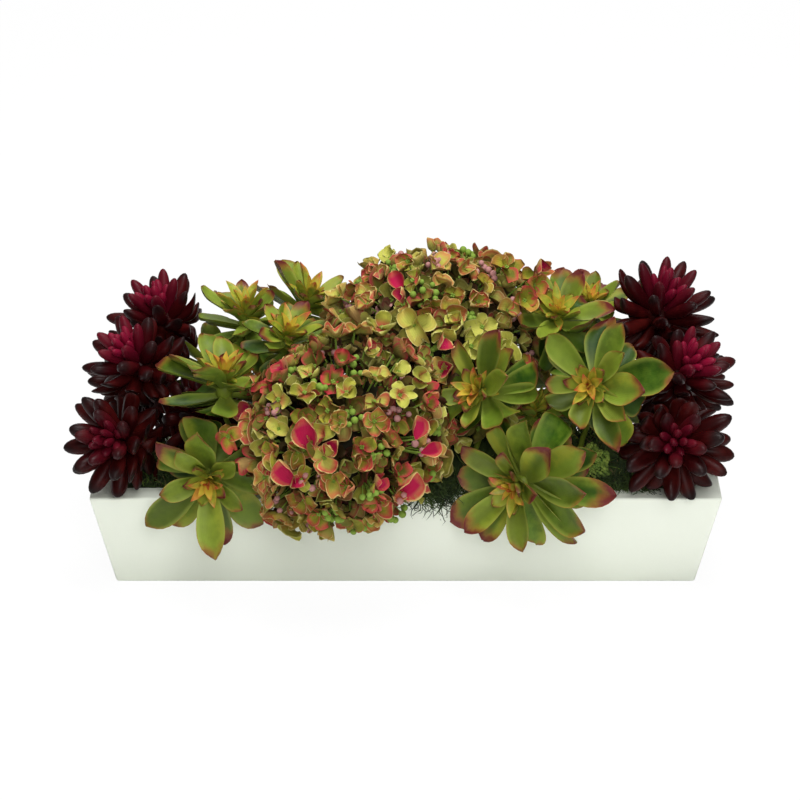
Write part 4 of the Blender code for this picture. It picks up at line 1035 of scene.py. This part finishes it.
# How pink the florets of each head are, how much lighter each head is painted as painted light from
# above, where a head is flatter, and florets that stray
flushes = {
    "hydrangea_front": (0.3, 0.6, 0.8, 1.0, 1.0, 1.1, -0.6, -0.9, -1.0),
    "hydrangea_top": (0.1, 0.4, 0.7, 0.9, 1.0, 1.0, -0.5, -0.9)}
sunlit = {"hydrangea_front": 0.0, "hydrangea_top": 0.36}
ceiling = [(np.array((0, 0, 0.319)), np.array((0, 0, 1)))]
dents = {"hydrangea_front": ((0.80, -0.25, -0.55), 0.018), "hydrangea_top": ((-0.25, -0.30, 0.90), 0.008)}
strays_seen = {
    "hydrangea_front": (
        ((-0.106, -0.040, 0.022), (-0.4, -0.8, 0.5)), ((0.072, 0.014, 0.040), (0.6, -0.7, 0.4)),
        ((-0.086, 0.028, 0.044), (-0.5, -0.7, 0.5))),
    "hydrangea_top": (
        ((0.094, -0.006, 0.080), (0.5, -0.6, 0.5)), ((0.091, -0.031, 0.078), (0.5, -0.8, 0.3)),
        ((0.082, -0.050, 0.070), (0.3, -0.8, 0.4)), ((0.066, -0.006, 0.085), (0.3, -0.5, 0.8)),
        ((-0.028, -0.016, 0.096), (-0.5, -0.6, 0.6)), ((-0.003, -0.074, 0.060), (0.1, -0.8, 0.6)),
        ((0.009, -0.072, 0.063), (0.2, -0.7, 0.7)), ((-0.015, -0.076, 0.058), (-0.1, -0.9, 0.5)),
        ((0.021, -0.055, -0.050), (0.1, -0.9, 0.2)))}
# The big crimson petals: where each one starts, the way it points, its length and how it curls
crimson_seen = {
    "hydrangea_front": (
        ((-0.027, -0.087, 0.031), 98, 0.036, -0.6), ((-0.014, -0.091, 0.027), 53, 0.023, -0.9),
        ((-0.042, -0.087, -0.002), 112, 0.032, -0.2), ((0.047, -0.062, -0.026), 62, 0.038, -0.1),
        ((0.066, -0.063, 0.030), 104, 0.026, -0.3), ((0.071, -0.063, 0.017), 25, 0.022, -0.5)),
    "hydrangea_top": (((-0.033, -0.047, 0.076), 112, 0.023, -0.5),)}
crimson_lean, crimson_breadth, to_front = math.radians(64), 0.70, Vector((0, -0.030, 0.022))


def floret(head, draw, middle, normal, tint, flush, depth):
    """Four petals round a green eye, plainer the deeper they lie and painted darker there as painted shade.
    """
    floret_axes = axes_of(normal)
    spin = draw.uniform(0, math.pi / 2)
    size = draw.uniform(0.0130, 0.0175)
    opening, curl = draw.uniform(38, 84), draw.uniform(-2.2, 0.5)
    hidden = depth >= 1
    for petal in range(4):
        lean = math.radians(opening + draw.uniform(-14, 14))
        length = size * draw.uniform(0.85, 1.15)
        turned = 2.2 if draw.random() < 0.22 else 0.0
        crimson = depth < 0.3 and draw.random() < crimson_chance and normal.z < 0.80
        cup = draw.uniform(0.12, 0.62)
        bend = curl + turned + draw.uniform(-0.4, 0.4)
        if crimson:
            length, lean, cup = length * 1.35, math.radians(draw.uniform(25, 60)), draw.uniform(0.45, 0.70)
            bend = draw.uniform(-1.0, 0.0)
        start = middle + normal * (crimson_lift if crimson else 0.0)
        azimuth = spin + petal * math.pi / 2 + draw.uniform(-0.12, 0.12)
        at = midrib(start, floret_axes, azimuth, lean, length, bend)
        outline = petal_outline[::2] if hidden else petal_outline
        points, faces, marks = blade(
            at, length * (0.82 if crimson else draw.uniform(0.85, 1.10)), outline, cup, petal_thickness,
            draw.uniform(-0.4, 0.4), 4 if depth < 0.4 else 3,
            (draw.uniform(0.0006, 0.0022), draw.uniform(4, 9), draw.uniform(0, 6)))
        head.add(pressed(points, ceiling), faces, marks, (
            min(1.0, max(0.0, tint + draw.uniform(-0.15, 0.15))),
            2.0 if crimson else flush * draw.uniform(0.5, 1.2), -depth))
    for bead in range(0 if hidden else 4):
        spot = middle + toward(floret_axes, spin + bead * 1.6, 1.2) * 0.0015 + normal * 0.0014
        head.plain(knob_shape(spot, floret_axes, (0.0014, 0.0014, 0.0018), 5, 3), stalk_kind)


for name, other in zip(hydrangeas, reversed(hydrangeas)):
    draw = random.Random(plants[name]["seed"] + floret_seed)
    axes, centre, reach, turn, walls = set_out(name)
    across_to = (plants[other]["centre"] - centre).normalized()
    leaf_walls = [(at - normal * petal_room, normal) for at, normal in walls_round(name, other_heads=False)]
    head = Bunch()

    def held(offset, bounds):
        """The place at this offset from the head's middle, which is lower than it is wide."""
        place = centre + offset * Vector((1, 1, head_height))
        return Vector(pressed(np.array([place[:]]), bounds)[0])

    def stalk(outward, middle, radii=(0.0010, 0.0008), sides=4):
        """Adds a stalk from inside the core to the middle of a floret, petal or bud."""
        root = held(outward * (core - stalk_sunk), walls)
        head.plain(lofted(tube_rings([root, middle], radii, sides)), stalk_kind)

    core = reach * core_share
    points, faces = knob_shape(Vector(), axes, (core,) * 3, 24, 15)
    flat = points @ np.array(axes[2])
    points += np.outer(np.maximum(flat, -core * core_flat) - flat, np.array(axes[2]))
    points = points * (1, 1, head_height) + np.array(centre)
    # The core's part mark of 3 gives it the near-black painted shade
    head.plain((pressed(points, walls), faces), (0, 0, 3))
    for florets, shallow, deep, tilt, depth in floret_layers:
        for number in range(florets):
            polar = math.acos(1 - (1 - math.cos(cap_polar)) * (number + 0.5) / florets)
            azimuth = turn + number * golden_angle + deep * 60
            outward = toward(axes, azimuth + draw.uniform(-0.1, 0.1), polar + draw.uniform(-0.07, 0.07))
            swell = swell_most * min(1.0, max(0.0, outward.dot(across_to) / 0.6))
            swell -= dents[name][1] * max(0.0, outward.dot(Vector(dents[name][0])))
            sunk = draw.uniform(shallow, deep)
            middle = held(outward * (reach + swell - sunk), leaf_walls)
            normal = (outward + Vector([draw.uniform(-tilt, tilt) for _ in range(3)])).normalized()
            floret(head, draw, middle, normal, draw.random() + sunlit[name], draw.choice(flushes[name]),
                   depth + 0.28 * (sunk - shallow) / (deep - shallow))
            if depth < 1:
                stalk(outward, middle)
    for offset, normal in strays_seen[name]:
        middle = centre + Vector(offset)
        floret(head, draw, middle, Vector(normal).normalized(), 0.3, 0.7, 0.0)
        stalk(Vector(offset).normalized(), middle)
    for offset, azimuth, length, bend in crimson_seen[name]:
        middle = centre + Vector(offset) * 1.04
        at = midrib(
            middle, axes_of(Vector(offset) + to_front), math.radians(azimuth), crimson_lean, length, bend)
        points, faces, marks = blade(
            at, length * crimson_breadth, petal_outline, 0.55, petal_thickness, 0.0, 6, (0.0012, 6, 1))
        head.add(pressed(points, ceiling), faces, marks, (0.9, 2.0, 0))
        stalk(Vector(offset).normalized(), middle)
    for number in range(bud_clusters):
        polar = math.acos(1 - (1 - math.cos(cap_polar * 0.9)) * (number + 0.5) / bud_clusters)
        azimuth = turn + 0.6 + number * golden_angle
        outward = toward(axes, azimuth, polar)
        cluster_axes = axes_of(outward)
        kind_of_bud = 0.7 if draw.random() < 0.5 else 1.4
        for bud in range(draw.randint(5, 8)):
            heading = toward(cluster_axes, bud * 2.4, draw.uniform(0.05, 0.42))
            run = heading * (reach * draw.uniform(0.97, 1.05) - core)
            middle = held(outward * (core - stalk_sunk) + run, leaf_walls)
            radius = draw.uniform(0.0028, 0.0038)
            head.plain(knob_shape(middle, cluster_axes, (radius,) * 3, 8, 5), (0, 0, kind_of_bud))
            stalk(outward, middle, (0.0008, 0.0006), 3)
    head.grown(name + "_florets", petal_cloth, "hydrangea_petals", (name + "_head",))

# Hydrangea stems: smooth moulded green rods that hold up the heads. They hardly show, so they keep
# their plain solids and get a streaked skin.
stem_skin, tree, shader = plain_material("green_stem", 0.6, (0.14, 0.24, 0.06))
streaks = mottled(tree, (0.08, 0.15, 0.03), (0.18, 0.28, 0.07), 120.0)
tree.links.new(streaks["Color"], shader.inputs["Base Color"])
for name in hydrangeas:
    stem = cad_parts[name + "_stem"]
    stem.data.materials.clear()
    stem.data.materials.append(stem_skin)
